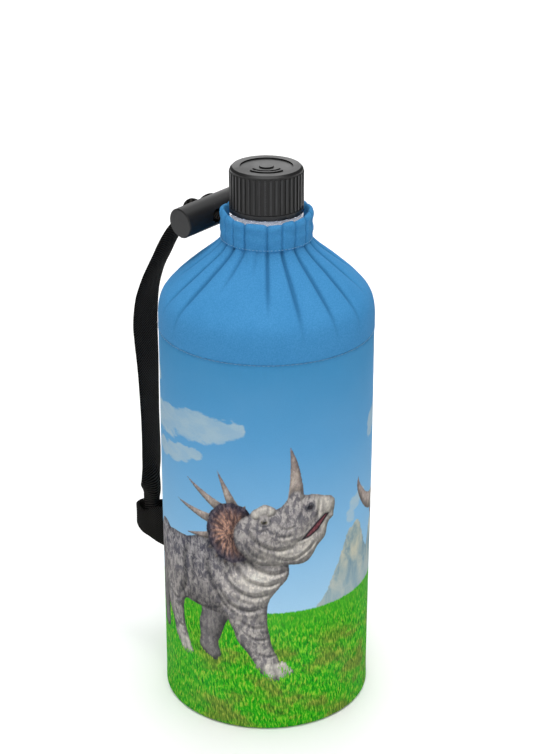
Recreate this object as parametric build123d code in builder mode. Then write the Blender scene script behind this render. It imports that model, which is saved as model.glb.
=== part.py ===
from build123d import *
import os
from math import cos, radians, sin, sqrt, tan

# Glass drinking bottle in a foam cup and a sewn fabric cover, with a screw cap, a webbing
# carry strap and a toggle bar.  Millimetres.  +Z is up, the origin is the middle of the base,
# and the strap side with the cover's side seam is +Y.

# ---- driving dimensions -------------------------------------------------------------------
cover_radius = 45.0
fabric = 1.3                     # laminated cover cloth
total_height = 240.0
seam_height = 171.2              # where the printed wall meets the gathered top
base_corner = 2.2
base_thick = 1.5

cup_gap = 0.3                    # cloth to foam, and foam to glass
cup_wall = 6.5
cup_floor = 6.0
cup_top = 172.0
glass_wall = 3.0

neck_radius = 12.5               # thread root of the 28 mm neck finish
mouth_radius = 9.2
neck_top = 237.2
bead_radius = 15.1
thread_pitch = 3.18
thread_rise = 0.95
thread_start = 228.6
thread_turns = 1.75

cap_radius = 14.85
rib_proud = 0.39
rib_count = 42
cap_bottom = 221.2
cap_bore = 13.75
cap_roof = 1.7
emblem_deep = 0.5
liner_thick = 0.9

collar_inner = 16.9
collar_outer = 19.4
collar_bottom = 209.6
collar_top = 221.7
elastic_wide = 7.6

toggle_radius = 6.4
toggle_length = 32.0
toggle_hole = 2.9
toggle_place = (-5.8, 28.6, 214.5)
toggle_tilt = 4.4

knot_radius = 4.1
knot_waist = 3.2
knot_right = 3.0                 # x of the knot's second turn; the first is behind the toggle's hole

strap_wide = 20.0
strap_thick = 1.3
tab_tall = 22.0
tab_foot = 39.5
hinge_foot = 46.8                # y of the swing line where the tab is sewn on
strap_head = (0, 46.6, 208.2)

os.makedirs("parts", exist_ok=True)


def save(piece, name):
    piece.part.label = name
    export_step(piece.part, f"parts/{name}.step")


cover_inner = cover_radius - fabric
cup_outer = cover_inner - cup_gap
cup_inner = cup_outer - cup_wall
glass_outer = cup_inner - cup_gap
cup_bottom = base_thick + cup_gap
glass_bottom = cup_bottom + cup_floor + cup_gap

# The cloth shoulder stands nearly upright to its widest fold, then runs in to the collar.
shoulder_line = [(45.0, seam_height + 0.4), (45.45, 177.0), (44.9, 183.0), (40.3, 189.6),
                 (34.6, 195.0), (28.9, 200.0), (22.6, 205.0), (18.2, 209.4)]


# ---- cover --------------------------------------------------------------------------------
with BuildPart() as cover_body:
    with BuildSketch(Plane.XZ):
        with BuildLine():
            Polyline((cover_inner - 1.2, 0.4), (cover_radius - base_corner, 0.4))
            RadiusArc((cover_radius - base_corner, 0.4), (cover_radius, 0.4 + base_corner), -base_corner)
            Polyline((cover_radius, 0.4 + base_corner), (cover_radius, seam_height),
                     (cover_inner, seam_height), (cover_inner, base_thick + 0.1),
                     (cover_inner - 1.2, base_thick + 0.1), (cover_inner - 1.2, 0.4))
        make_face()
    revolve(axis=Axis.Z)
save(cover_body, "cover_body")

with BuildPart() as cover_base:
    with BuildSketch():
        Circle(cover_inner - 1.25)
    extrude(amount=base_thick)
    chamfer(cover_base.edges().group_by(Axis.Z)[0], length=0.4)
save(cover_base, "cover_base")

with BuildPart() as base_seam:
    with BuildSketch(Plane.XZ):
        with Locations((cover_inner - 0.8, 0.19)):
            Rectangle(0.7, 0.3)
    revolve(axis=Axis.Z)
save(base_seam, "base_seam")

with BuildPart() as cover_top:
    with BuildSketch(Plane.XZ):
        with BuildLine():
            outer = Spline(*shoulder_line, tangents=((0.02, 1), (-0.75, 0.66)))
            inner = Spline(*[(r - fabric * 0.8 - 0.15, z - (0.75 if z > 186 else 0)) for r, z in shoulder_line],
                           tangents=((0.02, 1), (-0.75, 0.66)))
            Line(outer @ 0, inner @ 0)
            Line(outer @ 1, inner @ 1)
        make_face()
    revolve(axis=Axis.Z)
save(cover_top, "cover_top")

with BuildPart() as shoulder_seam:
    with BuildSketch(Plane.XZ):
        with Locations((cover_radius - 0.25, seam_height + 0.2)):
            Rectangle(1.1, 0.36)
    revolve(axis=Axis.Z)
save(shoulder_seam, "shoulder_seam")

# Side seam: a narrow stitched ridge up the back, open where the strap tab is sewn in.
with BuildPart() as side_seam:
    for low, high in ((4.0, tab_foot - 1.5), (tab_foot + tab_tall + 1.5, seam_height - 1.0)):
        with BuildSketch(Plane.XY.offset(low)):
            with Locations((0, cover_radius + 0.28)):
                Rectangle(3.0, 0.5)
        extrude(amount=high - low)
save(side_seam, "side_seam")

# ---- gathered collar with its elastic -------------------------------------------------------
with BuildPart() as cover_collar:
    with BuildSketch(Plane.XZ):
        with Locations(((collar_inner + collar_outer) / 2, (collar_bottom + collar_top) / 2)):
            RectangleRounded(collar_outer - collar_inner, collar_top - collar_bottom, 1.1)
            Rectangle(1.5, elastic_wide + 0.6, mode=Mode.SUBTRACT)
    revolve(axis=Axis.Z)
save(cover_collar, "cover_collar")

with BuildPart() as collar_elastic:
    with BuildSketch(Plane.XZ):
        with Locations(((collar_inner + collar_outer) / 2, (collar_bottom + collar_top) / 2)):
            Rectangle(0.9, elastic_wide)
    revolve(axis=Axis.Z)
save(collar_elastic, "collar_elastic")

# ---- insulating foam cup --------------------------------------------------------------------
with BuildPart() as insulating_cup:
    with BuildSketch(Plane.XY.offset(cup_bottom)):
        Circle(cup_outer)
    extrude(amount=cup_top - cup_bottom)
    with BuildSketch(Plane.XY.offset(cup_bottom + cup_floor)):
        Circle(cup_inner)
    extrude(amount=cup_top, mode=Mode.SUBTRACT)
    fillet(insulating_cup.edges().group_by(Axis.Z)[-1], radius=2.0)
    fillet(insulating_cup.edges().group_by(Axis.Z)[0], radius=1.5)
save(insulating_cup, "insulating_cup")

# ---- glass bottle ---------------------------------------------------------------------------


def thread(radius, start, turns, profile):
    """A right-hand thread ridge: profile is (radial, axial) offsets from the helix."""
    with BuildPart() as ridge:
        with BuildLine():
            helix = Helix(pitch=thread_pitch, height=thread_pitch * turns, radius=radius,
                          center=(0, 0, start))
        with BuildSketch(Plane(origin=helix @ 0, x_dir=(1, 0, 0), z_dir=helix % 0)):
            Polygon(*profile, align=None)
        sweep(path=helix, is_frenet=True)
    return ridge.part


neck_ridge = thread(neck_radius, thread_start, thread_turns,
                    [(-0.5, -0.95), (0, -0.95), (thread_rise, -0.45), (thread_rise, 0.45), (0, 0.95), (-0.5, 0.95)])

with BuildPart() as glass_bottle:
    with BuildSketch(Plane.XZ):
        with BuildLine():
            Polyline((0, glass_bottom + 2.2), (14, glass_bottom + 1.4), (24, glass_bottom),
                     (glass_outer - 4, glass_bottom))
            RadiusArc((glass_outer - 4, glass_bottom), (glass_outer, glass_bottom + 4), -4)
            Line((glass_outer, glass_bottom + 4), (glass_outer, 174))
            Spline((glass_outer, 174), (33.6, 186.5), (22, 197.5), (neck_radius + 0.6, 209),
                   tangents=((0, 1), (-0.15, 1)))
            Polyline((neck_radius + 0.6, 209), (neck_radius + 0.6, 216.2), (bead_radius, 217.2),
                     (bead_radius, 219.6), (neck_radius + 0.9, 220.2), (neck_radius, 222.0),
                     (neck_radius, neck_top - 0.8), (neck_radius - 0.8, neck_top),
                     (mouth_radius + 0.6, neck_top), (mouth_radius, neck_top - 0.6), (mouth_radius, 209))
            Spline((mouth_radius, 209), (18.8, 195.2), (30.2, 184.6), (glass_outer - glass_wall, 172.5),
                   tangents=((0.15, -1), (0, -1)))
            Line((glass_outer - glass_wall, 172.5), (glass_outer - glass_wall, glass_bottom + 8))
            RadiusArc((glass_outer - glass_wall, glass_bottom + 8), (glass_outer - glass_wall - 4, glass_bottom + 4), 4)
            Polyline((glass_outer - glass_wall - 4, glass_bottom + 4), (14, glass_bottom + 4.6),
                     (0, glass_bottom + 5.6), (0, glass_bottom + 2.2))
        make_face()
    revolve(axis=Axis.Z)
    add(neck_ridge)
save(glass_bottle, "glass_bottle")

# ---- screw cap and liner --------------------------------------------------------------------
liner_bottom = neck_top
cap_ceiling = liner_bottom + liner_thick
cap_top = cap_ceiling + cap_roof

cap_thread_clear = 0.25
cap_ridge = thread(cap_bore, thread_start - 0.5 * thread_pitch, 1.25,
                   [(0.5, -0.8), (0, -0.8), (-(cap_bore - neck_radius) + cap_thread_clear, -0.3),
                    (-(cap_bore - neck_radius) + cap_thread_clear, 0.3), (0, 0.8), (0.5, 0.8)])



def ripple(inner, half_turn):
    """A flat arc under the drop on the cap's top."""
    side = (inner + 3) * tan(radians(half_turn))
    fan = Polygon((0, 0), (-side, -inner - 3), (side, -inner - 3), align=None)
    return (Circle(inner + 0.95) - Circle(inner)) & fan


ripples = [ripple(5.4, 62), ripple(7.7, 50)]
with BuildPart() as screw_cap:
    with BuildSketch(Plane.XY.offset(cap_bottom)):
        Circle(cap_radius)
    extrude(amount=cap_top - cap_bottom)
    chamfer(screw_cap.edges().group_by(Axis.Z)[-1], length=0.9)
    # grip ribs
    with BuildSketch(Plane.XY.offset(cap_bottom + 2.4)):
        with PolarLocations(cap_radius + rib_proud / 2 - 0.2, rib_count):
            Rectangle(rib_proud + 0.4, 0.85)
    extrude(amount=cap_top - cap_bottom - 4.2)
    # plain band round the foot, and the shallow disc on top with a raised drop over two ripples
    with BuildSketch(Plane.XY.offset(cap_bottom)):
        Circle(cap_radius + rib_proud)
    extrude(amount=2.0)
    with BuildSketch(Plane(origin=(0, 0, cap_top - emblem_deep), x_dir=(1, -1, 0), z_dir=(0, 0, 1))):
        Circle(10.8)
        with Locations((0, 0.4)):
            Circle(3.0, mode=Mode.SUBTRACT)
            Polygon((-2.8, 1.1), (2.8, 1.1), (0, 6.6), align=None, mode=Mode.SUBTRACT)
        for arc in ripples:
            add(arc, mode=Mode.SUBTRACT)
    extrude(amount=emblem_deep, mode=Mode.SUBTRACT)
    # bore up to the liner
    with BuildSketch(Plane.XY.offset(cap_bottom)):
        Circle(cap_bore)
    extrude(amount=cap_ceiling - cap_bottom, mode=Mode.SUBTRACT)
    with BuildSketch(Plane.XY.offset(cap_bottom)):
        with PolarLocations(cap_radius + rib_proud, rib_count // 2):
            Rectangle(1.0, 1.1)
    extrude(amount=0.7, mode=Mode.SUBTRACT)
    add(cap_ridge)
    # lead-in round the mouth of the bore
    with BuildSketch(Plane.XZ):
        Polygon((0, cap_bottom - 0.5), (cap_bore + 0.5, cap_bottom - 0.5), (cap_bore + 0.5, cap_bottom),
                (cap_bore, cap_bottom + 0.5), (0, cap_bottom + 0.5), align=None)
    revolve(axis=Axis.Z, mode=Mode.SUBTRACT)
save(screw_cap, "screw_cap")

with BuildPart() as cap_liner:
    with BuildSketch(Plane.XY.offset(liner_bottom)):
        Circle(cap_bore - 0.05)
    extrude(amount=liner_thick)
save(cap_liner, "cap_liner")

# ---- toggle bar on its webbing tail ---------------------------------------------------------
tilt = radians(toggle_tilt)
bar_axis = Vector(cos(tilt), 0, sin(tilt))
toggle_center = Vector(*toggle_place)
bar_plane = Plane(origin=toggle_center - bar_axis * (toggle_length / 2), x_dir=(0, 1, 0), z_dir=bar_axis)
hole_plane = Plane(origin=toggle_center, x_dir=(1, 0, 0), z_dir=(0, 1, 0))

with BuildPart() as toggle_bar:
    with BuildSketch(bar_plane):
        Circle(toggle_radius)
    extrude(amount=toggle_length)
    chamfer(toggle_bar.faces().filter_by(GeomType.PLANE).edges(), length=0.45)
    with BuildSketch(hole_plane):
        Circle(toggle_hole)
    extrude(amount=2 * toggle_radius, both=True, mode=Mode.SUBTRACT)
save(toggle_bar, "toggle_bar")

tail_start = sqrt(collar_outer ** 2 - toggle_place[0] ** 2) + 1.0
tail_end = toggle_place[1] + toggle_radius + 0.2
with BuildPart() as strap_tail:
    with BuildSketch(Plane(origin=(toggle_place[0], tail_start, toggle_place[2]), x_dir=(1, 0, 0), z_dir=(0, 1, 0))):
        RectangleRounded(5.0, 1.7, 0.6)
    extrude(amount=tail_end - tail_start)
save(strap_tail, "strap_tail")

# Knot: the tail's turn and the loop over it, side by side behind the bar.
knot_y = tail_end + knot_radius
knot_z = 213.6
with BuildPart() as strap_knot:
    with BuildSketch(Plane(origin=(0, knot_y, knot_z), x_dir=(1, 0, 0), z_dir=(0, -1, 0))):
        with Locations((toggle_place[0], 0), (knot_right, 0)):
            Circle(knot_radius)
        with Locations(((toggle_place[0] + knot_right) / 2, 0)):
            Rectangle(knot_right - toggle_place[0], 2 * knot_waist)
            Rectangle(40, 20, align=(Align.CENTER, Align.MAX), mode=Mode.SUBTRACT)
    revolve(axis=Axis((0, knot_y, knot_z), (1, 0, 0)))
    # the webbing leaves the knot towards the strap, bunched to a cord
    root_of_neck = Vector(0, knot_y, knot_z)
    run_of_neck = Vector(*strap_head) - root_of_neck
    with BuildSketch(Plane(origin=root_of_neck, x_dir=(1, 0, 0), z_dir=run_of_neck)):
        Circle(1.4)
    extrude(amount=run_of_neck.length - 2.6)
save(strap_knot, "strap_knot")

# ---- carry strap and the tab that holds its foot --------------------------------------------
# Route of the webbing in the x = 0 plane: (y, z, width, turn of the width from X to Y, fold).
# The webbing is bunched at the knot, flat along the hand's length, and folded lengthwise, from
# fold 0 to fold 1, where it goes into the tab.
strap_route = [(46.6, 208.2, 8.6, -24, 0), (51.5, 204.0, 9.6, -17, 0), (56.5, 198.9, 10.6, -10, 0),
               (60.8, 192.2, 12.0, -4, 0), (64.6, 184.8, 13.4, 1, 0), (68.4, 178.2, 15.2, 5, 0),
               (71.5, 171.8, 17.0, 8, 0), (74.5, 163.5, 19.2, 10, 0), (76.4, 152.5, strap_wide, 10, 0),
               (76.6, 143.0, strap_wide, 11, 0), (76.2, 129.0, strap_wide, 13, 0),
               (75.5, 111.4, strap_wide, 18, 0), (75.1, 99.0, strap_wide, 19, 0),
               (75.4, 86.0, strap_wide, 19, 0), (75.7, 76.0, strap_wide, 19, 0.08),
               (75.8, 71.5, strap_wide, 19, 0.36), (75.9, 67.0, strap_wide, 19, 0.72),
               (76.0, 62.5, strap_wide, 19, 1), (76.1, 43.2, strap_wide, 19, 1)]
fold_near, fold_back, fold_far = 0.35, 0.15, 0.50          # shares of the width: side, back, side
fold_close = 94                                            # how far each side turns when folded
fold_shift = -4.9                                          # place of the fold's back, inward
strap_cup = 4                                              # flat webbing still cups a little, degrees


def strap_plane(index):
    """The webbing's cross-section plane at one point of its route: x is X, y is outward."""
    y, z = strap_route[index][:2]
    before = strap_route[max(index - 1, 0)]
    after = strap_route[min(index + 1, len(strap_route) - 1)]
    run = Vector(0, after[0] - before[0], after[1] - before[1]).normalized()
    return Plane(origin=(0, y, z), x_dir=(1, 0, 0), z_dir=run * -1)


def strap_section(wide, turn, fold):
    """Corners of the webbing's cross-section: two sides joined by a back, all of one thickness."""
    near, back, far = (radians(turn + cup + (goal - turn - cup) * fold)
                       for goal, cup in ((-fold_close, -strap_cup), (0, 0), (fold_close, strap_cup)))
    flat_middle = -(0.5 - fold_near - fold_back / 2) * wide
    middle = Vector(flat_middle * cos(radians(turn)), flat_middle * sin(radians(turn))) * (1 - fold)
    middle += Vector(0, fold_shift) * fold
    along = [Vector(cos(angle), sin(angle)) for angle in (near, back, far)]
    first = middle - along[1] * (fold_back * wide / 2)
    second = middle + along[1] * (fold_back * wide / 2)
    spine = [first - along[0] * (fold_near * wide), first, second, second + along[2] * (fold_far * wide)]
    lean = [near, (near + back) / 2, (back + far) / 2, far]
    bend = [0, (back - near) / 2, (far - back) / 2, 0]
    side = [Vector(-sin(a), cos(a)) * (strap_thick / 2 / cos(b)) for a, b in zip(lean, bend)]
    corners = [p + q for p, q in zip(spine, side)] + [p - q for p, q in zip(spine, side)][::-1]
    return [(corner.X, corner.Y) for corner in corners]


with BuildPart() as carry_strap:
    for index, (y, z, wide, turn, fold) in enumerate(strap_route):
        with BuildSketch(strap_plane(index)):
            Polygon(*strap_section(wide, turn, fold), align=None)
    loft(ruled=True)
save(carry_strap, "carry_strap")

# The tab's folded webbing stands out from the seam and closes round the strap's foot.
swing_line = (Vector(0, hinge_foot, tab_foot) - Vector(*strap_head)).normalized() * -1
tab_plane = Plane(origin=(0, hinge_foot, tab_foot), x_dir=(1, 0, 0), z_dir=swing_line)
tab_wall = 1.4
pocket_near = 21.5
pocket_far = 37.0
pocket_half = 2.6
outward = 1 if tab_plane.y_dir.Y > 0 else -1
with BuildPart() as anchor_tab:
    with BuildSketch(tab_plane):
        Circle(tab_wall)
        with Locations((0, outward * (pocket_near + 1.5)), (0, outward * (pocket_far - pocket_half))):
            Circle(pocket_half + tab_wall)
        make_hull()
        with Locations((0, outward * (pocket_near + pocket_far) / 2)):
            RectangleRounded(2 * pocket_half, pocket_far - pocket_near, 2.5, mode=Mode.SUBTRACT)
    extrude(amount=tab_tall)
    # the loop's outer end is drawn together: its top slopes down and its lower corner is round
    with BuildSketch(Plane.YZ):
        Polygon((60.0, tab_foot + tab_tall), (90.0, 55.5), (90.0, 66.0), (60.0, 66.0), align=None)
        with BuildLine():
            Polyline((80.0, 36.0), (80.0, 39.9), (82.6, 40.6), (84.5, 42.3), (85.6, 44.6), (90.0, 44.6),
                     (90.0, 36.0), (80.0, 36.0))
        make_face()
    extrude(amount=10, both=True, mode=Mode.SUBTRACT)
save(anchor_tab, "anchor_tab")

for piece in (cover_body, cover_base, base_seam, cover_top, shoulder_seam, side_seam, cover_collar,
              collar_elastic, insulating_cup, glass_bottle, screw_cap, cap_liner, toggle_bar, strap_tail,
              strap_knot, carry_strap, anchor_tab):
    box = piece.part.bounding_box()
    print(piece.part.label, len(piece.part.solids()), round(piece.part.volume, 1), box.min, box.max)
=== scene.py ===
"""Glass bottle in a printed, gathered cover: the looks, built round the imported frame."""

import math

import bpy
import numpy as np
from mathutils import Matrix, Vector


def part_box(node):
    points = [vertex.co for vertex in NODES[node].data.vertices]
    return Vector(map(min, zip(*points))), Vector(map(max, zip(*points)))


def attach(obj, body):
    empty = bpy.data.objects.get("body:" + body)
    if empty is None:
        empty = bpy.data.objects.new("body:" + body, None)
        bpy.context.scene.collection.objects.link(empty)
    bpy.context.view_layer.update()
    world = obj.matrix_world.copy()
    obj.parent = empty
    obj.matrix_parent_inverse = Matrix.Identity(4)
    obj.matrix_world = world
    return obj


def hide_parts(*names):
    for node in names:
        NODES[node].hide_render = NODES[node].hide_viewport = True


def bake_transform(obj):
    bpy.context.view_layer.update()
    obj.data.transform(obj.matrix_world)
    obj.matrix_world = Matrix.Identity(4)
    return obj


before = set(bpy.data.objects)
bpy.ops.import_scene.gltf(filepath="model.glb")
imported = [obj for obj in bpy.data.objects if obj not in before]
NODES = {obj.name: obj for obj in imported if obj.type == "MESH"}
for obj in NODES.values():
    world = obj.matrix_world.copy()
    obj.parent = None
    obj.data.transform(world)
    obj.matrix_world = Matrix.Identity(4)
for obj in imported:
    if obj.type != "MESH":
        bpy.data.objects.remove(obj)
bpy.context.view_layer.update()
MM = 0.001
TURN = 2 * math.pi


# ---- places and sizes from the frame, in millimetres ---------------------------------------
def box_mm(node):
    low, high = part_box(node)
    return np.array(low) / MM, np.array(high) / MM


body_low, body_high = box_mm("cover_body")
COVER_R = body_high[0]                       # outside of the printed wall
SEAM_Z = body_high[2]                        # where the printed wall meets the gathered top
HEM_Z = body_low[2]
COLLAR_R = box_mm("cover_collar")[1][0]
toggle_low, toggle_high = box_mm("toggle_bar")
tab_low, tab_high = box_mm("anchor_tab")
CLOTH = 1.3                                  # how thick the cover's cloth is
FRONT = math.radians(225)                    # the side of the cover that carries the picture
BACK = math.radians(90) - FRONT              # the side seam, as an angle from the picture's middle


def around(radius, theta, z):
    """Points at an angle theta from the picture's middle, positive to the viewer's right."""
    a = FRONT + np.asarray(theta)
    return np.stack(np.broadcast_arrays(radius * np.cos(a), radius * np.sin(a), z), -1)


# ---- mesh helpers ---------------------------------------------------------------------------
def new_mesh(name, points, faces, material):
    mesh = bpy.data.meshes.new(name)
    mesh.from_pydata((np.asarray(points, float).reshape(-1, 3) * MM).tolist(), [], faces)
    mesh.update()
    mesh.polygons.foreach_set("use_smooth", [True] * len(mesh.polygons))
    piece = bpy.data.objects.new(name, mesh)
    bpy.context.scene.collection.objects.link(piece)
    mesh.materials.append(material)
    return piece


def grid_faces(rows, cols, wrap_rows=False, wrap_cols=False, first=0):
    """Quads of a grid of points stored row by row."""
    i = np.arange(rows if wrap_rows else rows - 1)
    j = np.arange(cols if wrap_cols else cols - 1)
    i, j = np.meshgrid(i, j, indexing="ij")
    up, right = (i + 1) % rows, (j + 1) % cols
    quads = np.stack([i * cols + j, i * cols + right, up * cols + right, up * cols + j], -1)
    return (quads.reshape(-1, 4) + first).tolist()


def ring_faces(rows, cols):
    """Quads of a grid that closes on itself both ways."""
    return grid_faces(rows, cols, wrap_rows=True, wrap_cols=True)


def tube_faces(rows, cols, first=0):
    """Quads of a tube stored ring by ring, closed by one face at each end."""
    faces = grid_faces(rows, cols, wrap_cols=True, first=first)
    faces.append([first + k for k in reversed(range(cols))])
    faces.append([first + (rows - 1) * cols + k for k in range(cols)])
    return faces


def unit(vectors):
    return vectors / np.linalg.norm(vectors, axis=-1)[..., None]


def lengths_along(path):
    """Distance from the first point of a path to each of its points."""
    return np.concatenate([[0], np.cumsum(np.linalg.norm(np.diff(path, axis=0), axis=1))])


def set_attribute(piece, name, values, kind="FLOAT"):
    attribute = piece.data.attributes.new(name, kind, "POINT")
    slot = {"FLOAT": "value", "FLOAT_VECTOR": "vector", "FLOAT_COLOR": "color"}[kind]
    attribute.data.foreach_set(slot, np.asarray(values, np.float32).ravel())


def smoothstep(x, low, high):
    t = np.clip((x - low) / (high - low), 0, 1)
    return t * t * (3 - 2 * t)


def spline(points, count, closed=False):
    """A smooth curve through points (Catmull-Rom), at equal steps of its parameter."""
    p = np.asarray(points, float)
    n = len(p)
    t = np.linspace(0, n if closed else n - 1, count, endpoint=not closed)
    k = np.minimum(t.astype(int), n - 1 if closed else n - 2)
    f = (t - k)[:, None]
    at = (lambda i: p[i % n]) if closed else (lambda i: p[np.clip(i, 0, n - 1)])
    p0, p1, p2, p3 = at(k - 1), at(k), at(k + 1), at(k + 2)
    if not closed:
        p0 = np.where((k == 0)[:, None], 2 * p1 - p2, p0)
        p3 = np.where((k == n - 2)[:, None], 2 * p2 - p1, p3)
    return 0.5 * (2 * p1 + (p2 - p0) * f + (2 * p0 - 5 * p1 + 4 * p2 - p3) * f ** 2
                  + (3 * p1 - p0 - 3 * p2 + p3) * f ** 3)


def wobble(theta, seed, waves=5, first=2):
    """A smooth closed random function of the angle, about -1 to 1."""
    draw = np.random.default_rng(seed)
    total = np.zeros_like(np.asarray(theta, float))
    for k in range(first, first + waves):
        total = total + draw.normal() * np.sin(k * theta + draw.uniform(0, TURN)) / math.sqrt(k)
    return total / math.sqrt(waves / 2)


# ---- material helpers -----------------------------------------------------------------------
def srgb(r, g, b):
    """A colour given as 0 to 255 screen values, as the linear colour a shader takes."""
    def linear(c):
        c /= 255
        return c / 12.92 if c <= 0.04045 else ((c + 0.055) / 1.055) ** 2.4
    return (linear(r), linear(g), linear(b), 1.0)


class Paint:
    """Builds one node material; every method returns the socket that it makes."""

    def __init__(self, name, **shader):
        self.material = bpy.data.materials.new(name)
        self.material.use_nodes = True
        self.tree = self.material.node_tree
        self.shader = self.tree.nodes["Principled BSDF"]
        for socket, value in shader.items():
            self.shader.inputs[socket.replace("_", " ")].default_value = value

    def put(self, socket, value):
        if isinstance(value, bpy.types.NodeSocket):
            self.tree.links.new(value, socket)
        elif value is not None:
            socket.default_value = value

    def node(self, kind, **settings):
        made = self.tree.nodes.new(kind)
        for key, value in settings.items():
            setattr(made, key, value)
        return made

    def to(self, name, value):
        self.put(self.shader.inputs[name], value)

    def math(self, operation, a, b=None, c=None):
        made = self.node("ShaderNodeMath", operation=operation)
        for socket, value in zip(made.inputs, (a, b, c)):
            self.put(socket, value)
        return made.outputs[0]

    def mix(self, factor, a, b, blend="MIX"):
        made = self.node("ShaderNodeMix", data_type="RGBA", blend_type=blend)
        for index, value in ((0, factor), (6, a), (7, b)):
            self.put(made.inputs[index], value)
        return made.outputs[2]

    def attribute(self, name, output="Fac"):
        return self.node("ShaderNodeAttribute", attribute_name=name).outputs[output]

    def place(self):
        return self.node("ShaderNodeTexCoord").outputs["Object"]

    def scaled(self, vector, scale):
        made = self.node("ShaderNodeVectorMath", operation="MULTIPLY")
        self.put(made.inputs[0], vector)
        self.put(made.inputs[1], scale)
        return made.outputs[0]

    def noise(self, vector, scale, detail=2.0, rough=0.5, twist=0.0):
        made = self.node("ShaderNodeTexNoise")
        for key, value in (("Vector", vector), ("Scale", scale), ("Detail", detail),
                           ("Roughness", rough), ("Distortion", twist)):
            self.put(made.inputs[key], value)
        return made.outputs["Fac"]

    def cells(self, vector, scale):
        made = self.node("ShaderNodeTexVoronoi", feature="F1")
        self.put(made.inputs["Vector"], vector)
        self.put(made.inputs["Scale"], scale)
        return made.outputs["Distance"]

    def step(self, value, low, high, out_low=0.0, out_high=1.0):
        made = self.node("ShaderNodeMapRange", interpolation_type="SMOOTHSTEP")
        for index, number in enumerate((value, low, high, out_low, out_high)):
            self.put(made.inputs[index], number)
        return made.outputs[0]

    def ramp(self, factor, stops):
        made = self.node("ShaderNodeValToRGB")
        ramp = made.color_ramp
        while len(ramp.elements) < len(stops):
            ramp.elements.new(0.5)
        for element, (place, colour) in zip(ramp.elements, stops):
            element.position, element.color = place, colour
        self.put(made.inputs[0], factor)
        return made.outputs[0]

    def bump(self, height, strength, depth_mm, below=None):
        made = self.node("ShaderNodeBump")
        made.inputs["Strength"].default_value = strength
        made.inputs["Distance"].default_value = depth_mm * MM
        self.put(made.inputs["Height"], height)
        self.put(made.inputs["Normal"], below)
        return made.outputs[0]


def weave(paint, vector, pitch):
    """Height of a plain weave whose threads are pitch apart, over panel millimetres."""
    parts = paint.node("ShaderNodeSeparateXYZ")
    paint.put(parts.inputs[0], vector)
    waves = []
    for socket in parts.outputs[:2]:
        turn = paint.math("MULTIPLY", socket, TURN / pitch)
        waves.append(paint.math("SINE", turn))
    return paint.math("MULTIPLY", waves[0], waves[1])


# ---- the printed picture: a horned dinosaur in a meadow -------------------------------------
# Everything is in panel millimetres: u runs round the cover from the picture's middle, to the
# viewer's right, and v is the height above the floor.
HORIZON = 58.0
# Limbs and lumps as tapered rounds: two ends (u, v), their radii, and how near the viewer.
BEAST = {
    "far_legs": [((-21, 62), 8, (-25, 48), 5.2, -12), ((-25, 48), 5.2, (-26, 39), 4.2, -12),
                 ((-26, 38), 4.2, (-23.5, 35.5), 3.6, -11),
                 ((-57, 62), 8, (-60, 48), 5, -14), ((-60, 48), 5, (-58, 37), 4, -14)],
    "tail": [((-56, 78), 9, (-68, 71), 5, -8), ((-68, 71), 5, (-88, 66), 1.2, -10)],
    "body": [((-45, 72), 14.5, (-20, 72), 16.5, -5), ((-27, 78), 12.5, (-18, 80), 12, -4),
             ((-48, 67), 11.5, (-48, 51), 6.6, 0), ((-48, 51), 6.4, (-43, 38), 4.3, 1),
             ((-43, 37), 4.4, (-40, 33), 4.2, 2),
             ((-11, 67), 11.5, (-6, 47), 6.6, 4), ((-6, 47), 6.4, (0.5, 33), 4.7, 5),
             ((0.5, 32.5), 4.8, (4, 28.5), 4.4, 6),
             ((-14, 81), 12, (-2, 85), 10, 1), ((-8, 71), 11.5, (1, 78), 8.5, 3)],
    "toes": [((1, 31), 2.6, (2.2, 27), 2.3, 10), ((4.5, 31), 2.5, (6.6, 26.8), 2.2, 10),
             ((7, 32), 2.3, (9.8, 28.6), 1.9, 9), ((-42, 35), 2.5, (-41, 31.3), 2.2, 7),
             ((-39, 35.2), 2.3, (-36.8, 31.6), 2.0, 7)],
    "head": [((-3, 94), 11, (10, 97), 10, 6), ((10, 98.5), 10, (19, 103.5), 8, 7),
             ((19, 105), 6.8, (26, 105.2), 4.4, 7), ((26.4, 104.8), 3.8, (28.8, 100.2), 1.2, 7),
             ((0, 88), 7.5, (14, 87.5), 6.2, 6), ((14, 87.5), 6.2, (22, 93.5), 3.8, 6),
             ((22, 93.5), 3.6, (25.8, 98.8), 1.7, 6), ((11.5, 108), 4.4, (12.4, 111.5), 3.3, 8)],
    "brow": [((-4.2, 104.6), 2.4, (1.8, 106.2), 2.2, 16),
             ((-1.4, 106.4), 2.0, (-0.8, 107.6), 1.6, 17)],
}
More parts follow.
